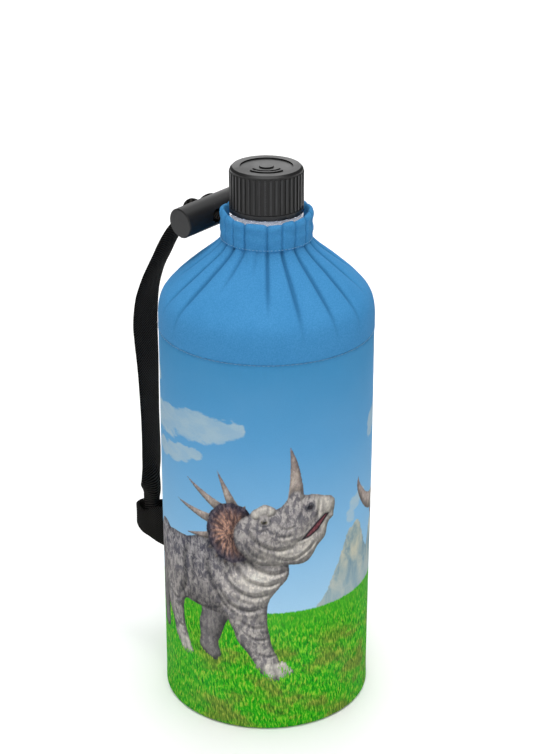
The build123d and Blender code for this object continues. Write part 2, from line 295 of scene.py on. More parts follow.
# Folds of the hide, pressed into the rounds: points, half width, depth.
HIDE_FOLDS = {
    "body": [([(-10, 85), (-4, 79), (3, 76.5), (9, 78)], 1.0, 1.9),
             ([(-14, 81), (-8, 73.5), (0, 71), (7, 73.5)], 1.0, 1.8),
             ([(-19, 77), (-13, 68.5), (-5, 65.5), (3, 68)], 1.1, 2.0),
             ([(-22, 71), (-16, 61.5), (-8, 58.5), (0, 61)], 1.0, 1.6),
             ([(-16, 86), (-17, 79), (-14, 73), (-9, 69)], 0.8, 1.0),
             ([(-26, 84), (-25, 73), (-20, 63), (-13, 56)], 1.4, 2.2),
             ([(-40, 61), (-32, 57), (-24, 57.5), (-17, 60)], 1.1, 1.1),
             ([(-36, 86), (-39, 76), (-38.5, 65), (-42, 57)], 1.4, 2.0),
             ([(-32, 84), (-34, 75), (-33, 66)], 1.5, 0.8),
             ([(-56, 76), (-53, 68), (-54, 60)], 1.0, 0.9),
             ([(-12, 54), (-6, 50.5), (1, 51)], 0.7, 0.9),
             ([(-10, 47.5), (-4, 44.5), (2, 45.5)], 0.6, 0.8),
             ([(-5, 38.5), (0, 36.5), (5, 37.5)], 0.6, 0.8),
             ([(-53, 55), (-48, 53), (-43, 54)], 0.7, 0.8),
             ([(-48, 43), (-44.5, 41), (-40, 41.5)], 0.6, 0.8),
             ([(-5, 62), (-3, 56), (-1.5, 50)], 1.4, 0.7)],
    "head": [([(-9, 99), (-4, 91.5), (4, 87.8), (12, 88.6)], 0.9, 1.5),
             ([(3, 84.2), (11, 82.8), (18, 86.5), (22, 91)], 0.7, 0.9),
             ([(12.5, 91.2), (17, 92.8), (21.5, 96.4), (26.4, 101.6)], 0.75, 1.7),
             ([(1, 97.5), (6, 94), (12, 94.2)], 0.7, 0.8),
             ([(3, 100.5), (8, 97.5), (13, 98.5)], 0.6, 0.6),
             ([(-10, 92), (-6, 86), (0, 83)], 0.8, 0.9),
             ([(6, 107.5), (9, 103.5), (8.5, 99.5)], 0.6, 0.7),
             ([(15, 111.5), (15.2, 106), (13.8, 101)], 0.6, 0.7),
             ([(22.6, 110), (22.8, 105.5), (21.6, 99.5)], 0.7, 1.1),
             ([(-8, 103), (-6, 98.5), (-2, 96.8), (2.4, 98.6)], 0.6, 0.7)],
}
FRILL_MIDDLE, FRILL_HALF, FRILL_LOBES = (-14.8, 95.0), (11.2, 13.6), 12
POINT_TIP = 0.15                             # radius of a sharp tip
SPIKES = [((-14, 107), 2.5, (-21, 122.5), POINT_TIP, 5), ((-19, 105), 2.6, (-37, 115.5), POINT_TIP, 5),
          ((-22, 99), 2.5, (-43.5, 103), POINT_TIP, 5), ((-22.5, 92), 2.2, (-37, 89.5), POINT_TIP, 5)]
# Short points round the frill's lower rim: bearing in degrees, length.
RIM_POINTS = [(196, 3.2), (216, 3.0), (236, 2.8), (256, 2.6), (276, 2.4), (296, 2.2), (84, 2.2),
              (62, 2.0)]
# Horns: a smooth line through points, and the radius at its root.
NOSE_HORN = ([(12.2, 108), (12.3, 117), (11.5, 127), (9.8, 135)], 3.6)
HORN_NEAR, HORN_STEPS = 9, 12                # how near the viewer, and how many rounds make it
MOUTH = [(14.8, 91.6), (18.5, 92.6), (22.4, 95.2), (25.6, 99.4), (27.6, 101.4), (25.8, 101.8),
         (21.6, 98.6), (17.8, 95.0)]
EYE, NOSTRIL = (-1.0, 101.4), (18.6, 106.2)
LAYERS = ("far_legs", "tail", "body", "toes", "spikes", "rim", "frill", "horn", "head", "brow")
POINTED = ("spikes", "rim", "horn")
SHARP, SOFT = 0.2, 2.8                       # how softly the rounds of a layer run together
FAR_AWAY = 1e9                               # a distance that every real one is below


def rounds_distance(u, v, rounds, blend):
    """Signed distance to a soft union of tapered rounds, and the height of their near side."""
    total, height = None, None
    for a, ra, b, rb, near in rounds:
        a, b = np.array(a, float), np.array(b, float)
        t = np.clip(((u - a[0]) * (b - a)[0] + (v - a[1]) * (b - a)[1]) / ((b - a) @ (b - a)), 0, 1)
        radius = ra + (rb - ra) * t
        off = np.hypot(u - a[0] - t * (b - a)[0], v - a[1] - t * (b - a)[1])
        distance = off - radius
        crown = near + np.sqrt(np.maximum(radius ** 2 - off ** 2, 0)) + np.minimum(-distance, 0) * 3
        if total is None:
            total, height = distance, crown
            continue
        h = np.clip(0.5 + 0.5 * (total - distance) / blend, 0, 1)
        total = total * (1 - h) + distance * h - blend * h * (1 - h)
        top = np.maximum(height, crown)
        height = top + 0.9 * np.log(np.exp((height - top) / 0.9) + np.exp((crown - top) / 0.9))
    return total, height


def line_distance(u, v, points):
    """Distance to a smooth line through points, and how far along it, 0 to 1."""
    path = spline(points, 6 * len(points))
    best, along = np.full(u.shape, FAR_AWAY), np.zeros(u.shape)
    for k, (a, b) in enumerate(zip(path[:-1], path[1:])):
        run = b - a
        t = np.clip(((u - a[0]) * run[0] + (v - a[1]) * run[1]) / max(run @ run, 1e-9), 0, 1)
        near = np.hypot(u - a[0] - t * run[0], v - a[1] - t * run[1])
        along = np.where(near < best, (k + t) / (len(path) - 1), along)
        best = np.minimum(best, near)
    return best, along


def horn_rounds(points, root):
    """A horn as short tapered rounds along a smooth line."""
    path = spline(points, HORN_STEPS + 1)
    radius = root * (1 - np.linspace(0, 1, HORN_STEPS + 1) ** 1.25) + POINT_TIP
    return [(tuple(path[k]), radius[k], tuple(path[k + 1]), radius[k + 1], HORN_NEAR)
            for k in range(HORN_STEPS)]


def rim_points():
    """Short tapered points that stand out from the frill's rim."""
    made = []
    for degrees, length in RIM_POINTS:
        way = np.array([math.cos(math.radians(degrees)), math.sin(math.radians(degrees))])
        foot = np.array(FRILL_MIDDLE) + way * FRILL_HALF * 0.96
        made.append((tuple(foot), 1.3, tuple(foot + way * length), POINT_TIP, 6))
    return made


def light_on(height, columns, rows):
    """How bright a drawn surface is, lit from the upper left of the picture."""
    slope_v, slope_u = np.gradient(height, rows, columns)
    length = np.sqrt(slope_u ** 2 + slope_v ** 2 + 1)
    light = np.array([-0.30, 0.62, 0.72])
    return np.clip((-slope_u * light[0] - slope_v * light[1] + light[2]) / length, 0, 1)


def polygon_distance(u, v, corners):
    """Signed distance to a polygon, negative inside."""
    best, inside = np.full(u.shape, FAR_AWAY), np.zeros(u.shape, bool)
    for (au, av), (bu, bv) in zip(corners, corners[1:] + corners[:1]):
        run = (bu - au) ** 2 + (bv - av) ** 2
        t = np.clip(((u - au) * (bu - au) + (v - av) * (bv - av)) / run, 0, 1)
        best = np.minimum(best, np.hypot(u - au - t * (bu - au), v - av - t * (bv - av)))
        crosses = (av > v) != (bv > v)
        at = au + (v - av) * (bu - au) / (bv - av if bv != av else 1e-9)
        inside ^= crosses & (u < at)
    return np.where(inside, -best, best)


HIDE_DARK = np.array(srgb(142, 142, 150)[:3])
HIDE_MID = np.array(srgb(192, 188, 188)[:3])
HIDE_PALE = np.array(srgb(236, 232, 224)[:3])
FRILL_WARM = np.array(srgb(222, 172, 146)[:3])
FRILL_DARK = np.array(srgb(98, 92, 106)[:3])
HORN_BASE = np.array(srgb(222, 210, 200)[:3])
HORN_TIP = np.array(srgb(128, 108, 110)[:3])
INK_DARK = np.array(srgb(44, 38, 46)[:3])
MOUTH_RED = np.array(srgb(150, 84, 92)[:3])
IRIS = np.array(srgb(96, 92, 60)[:3])


def lay_over(rgb, mask, colour):
    return rgb * (1 - mask[..., None]) + colour * mask[..., None]


def hide_tone(layer, u, v):
    """Plain colour of the hide, dark along the back, pale underneath, and how mottled it is."""
    if layer == "far_legs":
        share, mottle = np.full(u.shape, 0.42), np.full(u.shape, 0.5)
    elif layer == "head":
        under = smoothstep(v - 0.45 * u, 98, 80)
        share, mottle = 0.40 + 0.45 * under, 0.75 - 0.3 * under
        beak = smoothstep(u + 0.25 * (v - 100), 22.2, 23.6)
        share, mottle = share + 0.45 * beak, mottle - 0.35 * beak
    elif layer in ("toes", "brow"):
        share, mottle = np.full(u.shape, 0.85), np.full(u.shape, 0.3)
    else:
        throat = np.exp(-(((u + 2) / 15) ** 2 + ((v - 74) / 13) ** 2))
        under = smoothstep(v + 0.15 * u, 82, 46)
        share = 0.10 + 0.45 * under + 0.75 * throat
        mottle = np.clip(0.95 - 0.25 * under - 0.6 * throat, 0, 1)
    share = np.clip(share, 0, 1)[..., None]
    colour = np.where(share < 0.5, HIDE_DARK + (HIDE_MID - HIDE_DARK) * share * 2,
                      HIDE_MID + (HIDE_PALE - HIDE_MID) * (share * 2 - 1))
    if layer == "body":
        colour = colour * (1 + 0.32 * throat[..., None])
    return colour, mottle


def frill_polar(u, v):
    """Bearing from the frill's middle and relative distance from it, 1 at its plain rim."""
    du, dv = (u - FRILL_MIDDLE[0]) / FRILL_HALF[0], (v - FRILL_MIDDLE[1]) / FRILL_HALF[1]
    return np.arctan2(dv, du), np.hypot(du, dv)


def frill_shape(bearing, reach):
    """Signed distance and height of the frill, a lobed shield whose rim curls away."""
    lobes = np.cos(FRILL_LOBES * bearing)
    distance = (reach - 1 - 0.045 * np.abs(np.cos(FRILL_LOBES / 2 * bearing))) * FRILL_HALF[0]
    curl = 5.5 * (reach - 0.55) ** 2 * np.sign(reach - 0.55)
    return distance, 8 - curl + 0.55 * lobes * smoothstep(reach, 0.25, 0.8)


def frill_colour(bearing, reach):
    """Warm rays on a dark ground."""
    rays = 0.5 + 0.5 * np.cos(2 * FRILL_LOBES * bearing + 1.5 * np.sin(5 * reach))
    warm = (smoothstep(reach, 1.0, 0.45) * (0.25 + 0.75 * rays))[..., None]
    return FRILL_DARK * (1 - warm) + FRILL_WARM * warm


def press_folds(layer, u, v, height):
    """The height with the layer's folds pressed in, and how deep in a crease each place is."""
    crease = np.zeros(u.shape)
    for points, half, deep in HIDE_FOLDS.get(layer, []):
        near, along = line_distance(u, v, points)
        fade = np.clip(np.minimum(along, 1 - along) * 5, 0, 1) ** 0.7
        press = np.exp(-(near / half) ** 2) * fade * deep
        height = height - press + 0.35 * np.exp(-((near - 1.9 * half) / half) ** 2) * fade * deep
        crease = np.maximum(crease, np.exp(-(near / (0.55 * half)) ** 2) * fade * min(deep / 1.6, 1))
    return height, crease


def ribs(u, v):
    """Faint ribs on the flank."""
    waves = np.sin(0.75 * u + 0.16 * v + 1.2 * np.sin(0.09 * v))
    return waves * smoothstep(v, 52, 66) * smoothstep(u, -22, -34)


def pointed_colour(u, v, lines):
    """Colour of horns and spikes, each a line from root to tip, darker towards the tip."""
    colour, closest = np.zeros(u.shape + (3,)), np.full(u.shape, FAR_AWAY)
    for root, tip in lines:
        root, tip = np.array(root), np.array(tip)
        run = tip - root
        t = np.clip(((u - root[0]) * run[0] + (v - root[1]) * run[1]) / (run @ run), 0, 1)
        off = np.hypot(u - root[0] - t * run[0], v - root[1] - t * run[1])
        mine = (HORN_BASE * (1 - 0.65 * t[..., None]) + HORN_TIP * 0.65 * t[..., None])
        colour = np.where((off < closest)[..., None], mine, colour)
        closest = np.minimum(closest, off)
    return colour


def draw_face(rgb, u, v):
    """The mouth, the eye with its lid, and the nostril, over the colour of the head."""
    gap = polygon_distance(u, v, MOUTH)
    rgb = lay_over(rgb, smoothstep(-gap, -0.55, 0.15), INK_DARK)
    rgb = lay_over(rgb, 0.9 * smoothstep(-gap, 0.35, 0.95), MOUTH_RED)
    glint = (EYE[0] - 0.35, EYE[1] + 0.45)
    spots = ((EYE, 2.9, HIDE_DARK * 0.62), (EYE, 2.1, HIDE_MID * 0.9), (EYE, 1.35, IRIS),
             (EYE, 0.7, INK_DARK), (glint, 0.32, HIDE_PALE * 1.3),
             (NOSTRIL, 2.5, HIDE_DARK * 0.72), (NOSTRIL, 1.35, INK_DARK))
    for place, radius, colour in spots:
        off = np.hypot(u - place[0], (v - place[1]) * 1.2)
        rgb = lay_over(rgb, 0.92 * smoothstep(off, radius + 0.35, radius - 0.3), colour)
    lid = smoothstep(np.hypot(u - EYE[0], v - EYE[1] - 1.5), 2.4, 1.6)
    lid = lid * smoothstep(v, EYE[1] + 0.1, EYE[1] + 0.7)
    return lay_over(rgb, 0.75 * lid, HIDE_MID)


def draw_beast(u, v, columns, rows, horn):
    """Signed distance, colour and mottling of one animal, on a grid of its own millimetres."""
    rgb, mottled = np.zeros(u.shape + (3,)), np.zeros(u.shape)
    outline = np.full(u.shape, FAR_AWAY)
    bearing, reach = frill_polar(u, v)
    shapes = {**BEAST, "spikes": SPIKES, "rim": rim_points(), "horn": horn_rounds(*horn)}
    for layer in LAYERS:
        rounds = shapes.get(layer)
        crease = np.zeros(u.shape)
        if layer == "frill":
            distance, height = frill_shape(bearing, reach)
        else:
            blend = SHARP if layer in POINTED or layer == "toes" else SOFT
            distance, height = rounds_distance(u, v, rounds, blend)
            height, crease = press_folds(layer, u, v, height)
        if layer == "body":
            height = height + 0.30 * ribs(u, v)
        shade = light_on(height, columns, rows)[..., None]
        edge = smoothstep(-distance, -0.2, 1.6)[..., None]
        if layer in POINTED:
            lines = [(rounds[0][0], rounds[-1][2])] if layer == "horn" else [(r[0], r[2]) for r in rounds]
            colour = pointed_colour(u, v, lines) * (0.42 + 0.78 * shade) * (0.8 + 0.2 * edge)
            mottle = np.full(u.shape, 0.35)
        elif layer == "frill":
            colour = frill_colour(bearing, reach) * (0.5 + 0.7 * shade) * (0.7 + 0.3 * edge)
            mottle = np.full(u.shape, 0.85)
        else:
            colour, mottle = hide_tone(layer, u, v)
            colour = colour * (0.40 + 0.82 * shade) * (0.62 + 0.38 * edge) * (1 - 0.55 * crease[..., None])
            if layer == "far_legs":
                colour = colour * 0.62
        inside = smoothstep(-distance, -0.3, 0.3)
        if layer in ("frill", "head"):
            halo = smoothstep(distance, 4.0, 0.0) * (1 - inside) * smoothstep(-outline, 0.0, 0.8)
            rgb = rgb * (1 - 0.55 * halo[..., None])
        rgb = lay_over(rgb, inside, colour)
        mottled = mottled * (1 - inside) + mottle * inside
        # outside the outline the colour of the nearest part carries on, so that no edge is dark
        spill = (outline > 0) & (distance > 0) & (distance < np.maximum(outline, 0) + 1e-6)
        rgb[spill], mottled[spill] = colour[spill], mottle[spill]
        outline = np.minimum(outline, distance)
    return outline, np.clip(draw_face(rgb, u, v), 0, 1), mottled


MOUNTAIN = [(20, 56), (27, 64), (31, 72), (35, 80), (38, 87), (40, 90), (42, 89), (44, 92),
            (47, 91), (50, 84), (53, 77), (56, 74), (60, 83), (66, 90), (71, 86), (78, 74),
            (88, 66), (100, 60), (104, 56)]
# Clouds: middle (u, v), half width, half height.
CLOUDS = [(-58, 134.5, 12, 7.5), (-48, 137, 12, 8), (-38, 139.5, 11, 8.5), (-29, 140, 10, 8),
          (-20, 141, 9, 7), (-13.5, 142.5, 5.5, 4.4), (-57, 122, 8, 4.5), (-47, 123.5, 8, 4.8),
          (-39, 125.5, 7.5, 4.6), (-32, 127, 5, 3.2), (-73, 150, 7, 4.6), (-65, 152, 5.5, 4.4),
          (58, 131, 5, 7), (65, 133.5, 9, 7.5), (76, 131, 11, 6),
          (40.5, 95, 4, 5), (43.5, 100.5, 5, 4), (48, 103, 4.5, 3),
          (-92, 120, 14, 7), (-80, 124, 11, 6), (92, 148, 17, 7), (106, 151, 14, 6), (118, 146, 12, 5),
          (146, 124, 15, 7), (158, 127, 13, 6), (136, 121, 10, 5), (132, 86, 9, 4.5), (166, 92, 9, 4.5)]
# The second animal faces the first from round the corner: (its own mm) -> (panel mm).
SECOND = {"u": 87.0, "v": 3.0, "size": 0.85}
SECOND_HORN = ([(19, 108), (30, 107), (40, 112), (47, 121), (48.5, 128)], 5.6)


def picture(columns, rows):
    """The picture's attributes on a grid of the panel."""
    u, v = np.meshgrid(columns, rows)
    first_edge, first_rgb, first_mottle = draw_beast(u, v, columns, rows, NOSE_HORN)
    size = SECOND["size"]
    second_edge, second_rgb, second_mottle = draw_beast((SECOND["u"] - u) / size, (v - SECOND["v"]) / size,
                                                        (SECOND["u"] - columns) / size,
                                                        (rows - SECOND["v"]) / size, SECOND_HORN)
    nearer = (second_edge * size < first_edge)
    edge = np.where(nearer, second_edge * size, first_edge)
    rgb = np.where(nearer[..., None], second_rgb, first_rgb)
    mottle = np.where(nearer, second_mottle, first_mottle)
    cloud = np.zeros(u.shape)
    for cu, cv, wide, tall in CLOUDS:
        lump = 1 - ((u - cu) / wide) ** 2 - ((v - cv) / tall) ** 2
        cloud = np.maximum(cloud, np.clip(lump, 0, 1))
    return {"beast_edge": edge, "beast_rgb": np.concatenate([rgb, mottle[..., None]], -1),
            "mountain_edge": polygon_distance(u, v, MOUNTAIN), "cloud": cloud}


# ---- materials ------------------------------------------------------------------------------
def sky(p, v):
    """Blue, paler towards the horizon."""
    height = p.step(v, HORIZON - 4, SEAM_Z + 8)
    height.node.interpolation_type = "LINEAR"
    return p.ramp(height, [(0.0, srgb(170, 212, 241)), (0.3, srgb(133, 188, 228)),
                           (0.62, srgb(95, 162, 211)), (0.92, srgb(68, 143, 193)),
                           (1.0, srgb(60, 137, 187))])


def mountain(p, colour, panel, v):
    """Pale rock with bluish gullies, hazy at its foot."""
    gullies = p.noise(p.scaled(panel, (0.16, 0.085, 1)), 1.0, 6, 0.62, 0.6)
    rock = p.ramp(gullies, [(0.36, srgb(108, 140, 154)), (0.5, srgb(164, 176, 168)),
                            (0.66, srgb(206, 202, 176))])
    rock = p.mix(p.step(v, HORIZON + 26, HORIZON - 2, 0.12, 0.62), rock, srgb(157, 183, 196))
    ragged = p.math("MULTIPLY_ADD", p.noise(panel, 0.55, 4, 0.6), 2.6, -1.3)
    shore = p.math("ADD", p.attribute("mountain_edge"), ragged)
    return p.mix(p.step(shore, 0.25, -0.25), colour, rock)


def clouds(p, colour, panel):
    """Lumps eaten away by noise."""
    wisps = p.noise(p.scaled(panel, (0.085, 0.16, 1)), 1.0, 8, 0.60, 0.2)
    cloud = p.math("MULTIPLY_ADD", wisps, 3.0, -1.55)
    cloud = p.math("ADD", p.attribute("cloud"), cloud)
    cloud = p.math("MULTIPLY", p.step(cloud, 0.04, 0.46), p.step(p.attribute("cloud"), 0.0, 0.30))
    billow = p.step(p.noise(p.scaled(panel, (0.10, 0.22, 1)), 1.0, 5, 0.55), 0.36, 0.64, 0.56, 0.74)
    return p.mix(p.math("MULTIPLY", cloud, billow), colour, srgb(178, 200, 207))


def grass_blades(p, panel, u, v):
    """Two fields of long, leaning streaks."""
    sway = p.math("MULTIPLY_ADD", p.noise(panel, 0.11, 2), 3.0, u)
    leaning = p.node("ShaderNodeCombineXYZ")
    p.put(leaning.inputs[0], p.math("MULTIPLY_ADD", v, 0.12, sway))
    p.put(leaning.inputs[1], p.math("MULTIPLY", v, 0.24))
    blades = p.noise(leaning.outputs[0], 1.25, 3, 0.6)
    other = p.node("ShaderNodeCombineXYZ")
    p.put(other.inputs[0], p.math("MULTIPLY_ADD", v, -0.2, u))
    p.put(other.inputs[1], p.math("MULTIPLY", v, 0.3))
    return blades, p.noise(other.outputs[0], 0.95, 3, 0.6)


def meadow(p, colour, panel, u, v, blades, tips):
    """Blades in several greens up to the skyline, with drier patches, plainer far off."""
    grass = p.ramp(blades, [(0.30, srgb(10, 92, 12)), (0.42, srgb(24, 146, 14)), (0.53, srgb(54, 182, 18)),
                            (0.66, srgb(150, 212, 56))])
    grass = p.mix(p.step(tips, 0.56, 0.68, 0, 0.8), grass, srgb(180, 204, 66))
    dry = p.noise(p.scaled(panel, (0.045, 0.075, 1)), 1.0, 4, 0.6)
    dry_here = p.math("MULTIPLY", p.step(dry, 0.43, 0.60), p.step(v, HORIZON - 6, HORIZON - 22))
    dry_here = p.math("MULTIPLY", dry_here, p.step(u, -45, -20))
    olive = p.ramp(blades, [(0.32, srgb(66, 76, 28)), (0.5, srgb(112, 122, 46)),
                            (0.66, srgb(176, 172, 74))])
    grass = p.mix(p.math("MULTIPLY", dry_here, 0.72), grass, olive)
    far = p.step(v, HORIZON - 15, HORIZON - 1)
    grass = p.mix(p.math("MULTIPLY", far, 0.55), grass, srgb(76, 170, 38))
    skyline = p.math("MULTIPLY_ADD", p.noise(p.scaled(panel, (1.5, 0.3, 1)), 1.0, 3, 0.6), 1.6, -0.8)
    skyline = p.math("ADD", v, skyline)
    return p.mix(p.step(skyline, HORIZON + 0.4, HORIZON - 0.4), colour, grass)


def animals(p, colour, panel, v, blades):
    """Mottled, finely wrinkled hide; grass stands before the feet."""
    mottled = p.attribute("beast_rgb", "Alpha")
    stretched = p.scaled(panel, (0.46, 0.24, 1))
    blotches = p.step(p.noise(stretched, 1.0, 7, 0.70, 0.5), 0.42, 0.58)
    wrinkles = p.step(p.cells(p.scaled(panel, (1.0, 0.72, 1)), 1.0), 0.25, 0.75)
    hide = p.mix(blotches, srgb(104, 104, 120), srgb(255, 252, 244))
    hide = p.mix(mottled, srgb(242, 240, 236), hide)
    hide = p.mix(p.math("MULTIPLY", wrinkles, 0.30), hide, srgb(150, 146, 150))
    beast = p.mix(1.0, p.attribute("beast_rgb", "Color"), hide, "MULTIPLY")
    speckle = p.step(p.noise(panel, 1.5, 4, 0.65), 0.58, 0.68, 0.0, 0.55)
    beast = p.mix(p.math("MULTIPLY", speckle, mottled), beast, srgb(62, 60, 72))
    screen = p.math("MULTIPLY", p.step(v, 38, 26), p.step(blades, 0.42, 0.6, 0.0, 3.2))
    rough_edge = p.math("MULTIPLY_ADD", p.noise(panel, 0.9, 3), 0.5, -0.25)
    outline = p.math("ADD", p.math("ADD", p.attribute("beast_edge"), rough_edge), screen)
    return p.mix(p.step(outline, 0.22, -0.22), colour, beast)


def printed_cloth():
    """The picture printed on woven cloth; its ink settles unevenly into the grain."""
    p = Paint("printed_cloth", Roughness=0.78, Specular_IOR_Level=0.06)
    panel = p.attribute("panel", "Vector")
    split = p.node("ShaderNodeSeparateXYZ")
    p.put(split.inputs[0], panel)
    u, v = split.outputs[0], split.outputs[1]
    colour = clouds(p, mountain(p, sky(p, v), panel, v), panel)
    blades, tips = grass_blades(p, panel, u, v)
    colour = meadow(p, colour, panel, u, v, blades, tips)
    colour = animals(p, colour, panel, v, blades)
    grain = p.noise(panel, 2.4, 2, 0.6)
    colour = p.mix(p.step(grain, 0.3, 0.75, 0.0, 0.10), colour, srgb(30, 60, 80))
    colour = p.mix(p.step(p.noise(panel, 0.03, 3), 0.35, 0.7, 0.0, 0.012), colour, srgb(235, 240, 245))
    p.to("Base Color", colour)
    cloth = p.math("MULTIPLY_ADD", weave(p, panel, 0.62), 0.35, grain)
    slub = p.noise(panel, 0.35, 3)
    p.to("Normal", p.bump(cloth, 0.35, 0.10, p.bump(slub, 0.25, 0.5)))
    p.to("Roughness", p.step(grain, 0.2, 0.8, 0.68, 0.84))
    return p.material


def plain_cloth(name, light, dark, crease):
    """Dyed cloth whose grain is noise in the piece's own space, with painted shade darkening it along its
    creases.
    """
    p = Paint(name, Roughness=0.78, Specular_IOR_Level=0.08)
    place = p.place()
    grain = p.noise(place, 1900, 3, 0.62)
    colour = p.mix(p.step(grain, 0.25, 0.78), dark, light)
    cloudy = p.noise(place, 42, 4, 0.6)
    colour = p.mix(p.step(cloudy, 0.35, 0.7, 0.0, 0.16), colour, srgb(40, 116, 170))
    # painted shade: the fold attribute darkens the cloth towards the crease colour in the folds of the
    # gathers and the collar
    fold = p.attribute("fold")
    colour = p.mix(p.math("MULTIPLY", fold, 0.55), colour, crease)
    p.to("Base Color", colour)
    threads = p.noise(p.scaled(place, (1, 1, 1.7)), 1300, 2, 0.5)
    p.to("Normal", p.bump(threads, 0.35, 0.10, p.bump(p.noise(place, 300, 3), 0.25, 0.4)))
    p.to("Roughness", p.step(grain, 0.2, 0.8, 0.72, 0.86))
    return p.material


def webbing():
    """Black twill tape: diagonal ribs over its length and width, plain selvedges; painted highlight on the
    ribs' crests and painted shade in their hollows.
    """
    p = Paint("black_webbing", Roughness=0.85, Specular_IOR_Level=0.05)
    along, across = p.attribute("along"), p.attribute("across")
    diagonal = p.math("MULTIPLY_ADD", across, 0.32, along)
    uneven = p.noise(p.place(), 240, 3)
    diagonal = p.math("MULTIPLY_ADD", uneven, 0.7, diagonal)
    rib = p.math("SINE", p.math("MULTIPLY", diagonal, TURN / 1.25))
    thread = p.math("SINE", p.math("MULTIPLY", along, TURN / 0.62))
    height = p.math("MULTIPLY_ADD", thread, 0.28, rib)
    fuzz = p.noise(p.place(), 2600, 3, 0.6)
    height = p.math("MULTIPLY_ADD", fuzz, 0.8, height)
    # painted highlight and shade: the colour runs from near black in the hollows of the weave to paler grey
    # on its crests
    tone = p.ramp(p.step(height, -0.9, 1.5), [(0.0, srgb(2, 2, 2)), (0.45, srgb(8, 8, 8)),
                                              (0.75, srgb(23, 22, 21)), (1.0, srgb(48, 46, 44))])
    worn = p.step(p.noise(p.place(), 60, 4, 0.6), 0.55, 0.75, 0.0, 0.3)
    p.to("Base Color", p.mix(worn, tone, srgb(26, 25, 25)))
    p.to("Normal", p.bump(height, 0.7, 0.15))
    return p.material


def moulded_plastic(name, tone, paler_tone, roughness, paler_from, paler_to):
    """Black plastic with a fine spark texture, paler where it stands furthest out."""
    p = Paint(name, Roughness=roughness, Specular_IOR_Level=0.32)
    place = p.place()
    fine = p.noise(place, 900, 4, 0.6)
    broad = p.noise(place, 60, 4, 0.55)
    flat = p.node("ShaderNodeVectorMath", operation="LENGTH")
    p.put(flat.inputs[0], p.scaled(place, (1, 1, 0)))
    # paler where the plastic lies furthest from the upright axis, between the two given radii, in broad
    # uneven patches
    paler_outermost = p.step(flat.outputs["Value"], paler_from * MM, paler_to * MM)
    paler_outermost = p.math("MULTIPLY", paler_outermost, p.step(broad, 0.35, 0.65, 0.35, 1.0))
    scuffs = p.step(p.noise(p.scaled(place, (1, 1, 0.2)), 420, 5, 0.7), 0.62, 0.72, 0.0, 0.35)
    colour = p.mix(p.math("MAXIMUM", paler_outermost, scuffs), tone, paler_tone)
    p.to("Base Color", colour)
    p.to("Roughness", p.step(broad, 0.3, 0.7, roughness - 0.06, roughness + 0.08))
    p.to("Normal", p.bump(fine, 0.18, 0.05))
    return p.material


def clear_glass():
    """Clear glass; a little light of its own stands for the daylight that it carries up the neck."""
    p = Paint("clear_glass", Base_Color=(0.93, 0.95, 1.0, 1), Roughness=0.01, IOR=1.5,
              Transmission_Weight=0.78, Emission_Color=(0.86, 0.90, 1.0, 1), Emission_Strength=0.07)
    ripple = p.noise(p.scaled(p.place(), (1, 1, 0.35)), 70, 3)
    p.to("Normal", p.bump(ripple, 0.08, 0.3))
    smear = p.noise(p.place(), 130, 4, 0.6)
    p.to("Roughness", p.step(smear, 0.5, 0.8, 0.0, 0.04))
    return p.material


def bead_foam():
    p = Paint("bead_foam", Roughness=0.85)
    beads = p.cells(p.place(), 330)
    p.to("Base Color", p.ramp(beads, [(0.0, srgb(240, 240, 236)), (0.75, srgb(214, 214, 208))]))
    p.to("Normal", p.bump(beads, 0.5, -0.4))
    return p.material


def soft_liner():
    p = Paint("soft_liner", Roughness=0.6)
    cells = p.noise(p.place(), 1500, 3)
    p.to("Base Color", p.ramp(cells, [(0.3, srgb(206, 206, 200)), (0.7, srgb(232, 232, 228))]))
    p.to("Normal", p.bump(cells, 0.3, 0.05))
    return p.material


def elastic_band():
    p = Paint("elastic_band", Roughness=0.8)
    up = p.node("ShaderNodeSeparateXYZ")
    p.put(up.inputs[0], p.place())
    ribs = p.math("SINE", p.math("MULTIPLY", up.outputs[2], TURN / (1.1 * MM)))
    p.to("Base Color", p.ramp(p.step(ribs, -1, 1), [(0, srgb(190, 190, 186)), (1, srgb(236, 236, 232))]))
    p.to("Normal", p.bump(ribs, 0.6, 0.2))
    return p.material


def sewing_thread(name, light, dark):
    p = Paint(name, Roughness=0.7, Sheen_Weight=0.2)
    plies = p.noise(p.place(), 2400, 2)
    p.to("Base Color", p.mix(plies, dark, light))
    p.to("Normal", p.bump(plies, 0.5, 0.08))
    return p.material


def base_cloth():
    """Hard-wearing black base panel: coated plain weave, scuffed where it rubs."""
    p = Paint("base_cloth", Roughness=0.66)
    split = p.node("ShaderNodeVectorMath", operation="SCALE")
    p.put(split.inputs[0], p.place())
    split.inputs["Scale"].default_value = 1 / MM
    threads = weave(p, split.outputs[0], 0.9)
    scuff = p.step(p.noise(p.place(), 90, 6, 0.7), 0.55, 0.7, 0.0, 0.5)
    tone = p.ramp(p.step(threads, -1, 1), [(0, srgb(20, 22, 26)), (1, srgb(44, 47, 54))])
    p.to("Base Color", p.mix(scuff, tone, srgb(92, 94, 98)))
    p.to("Normal", p.bump(threads, 0.6, 0.12))
    return p.material


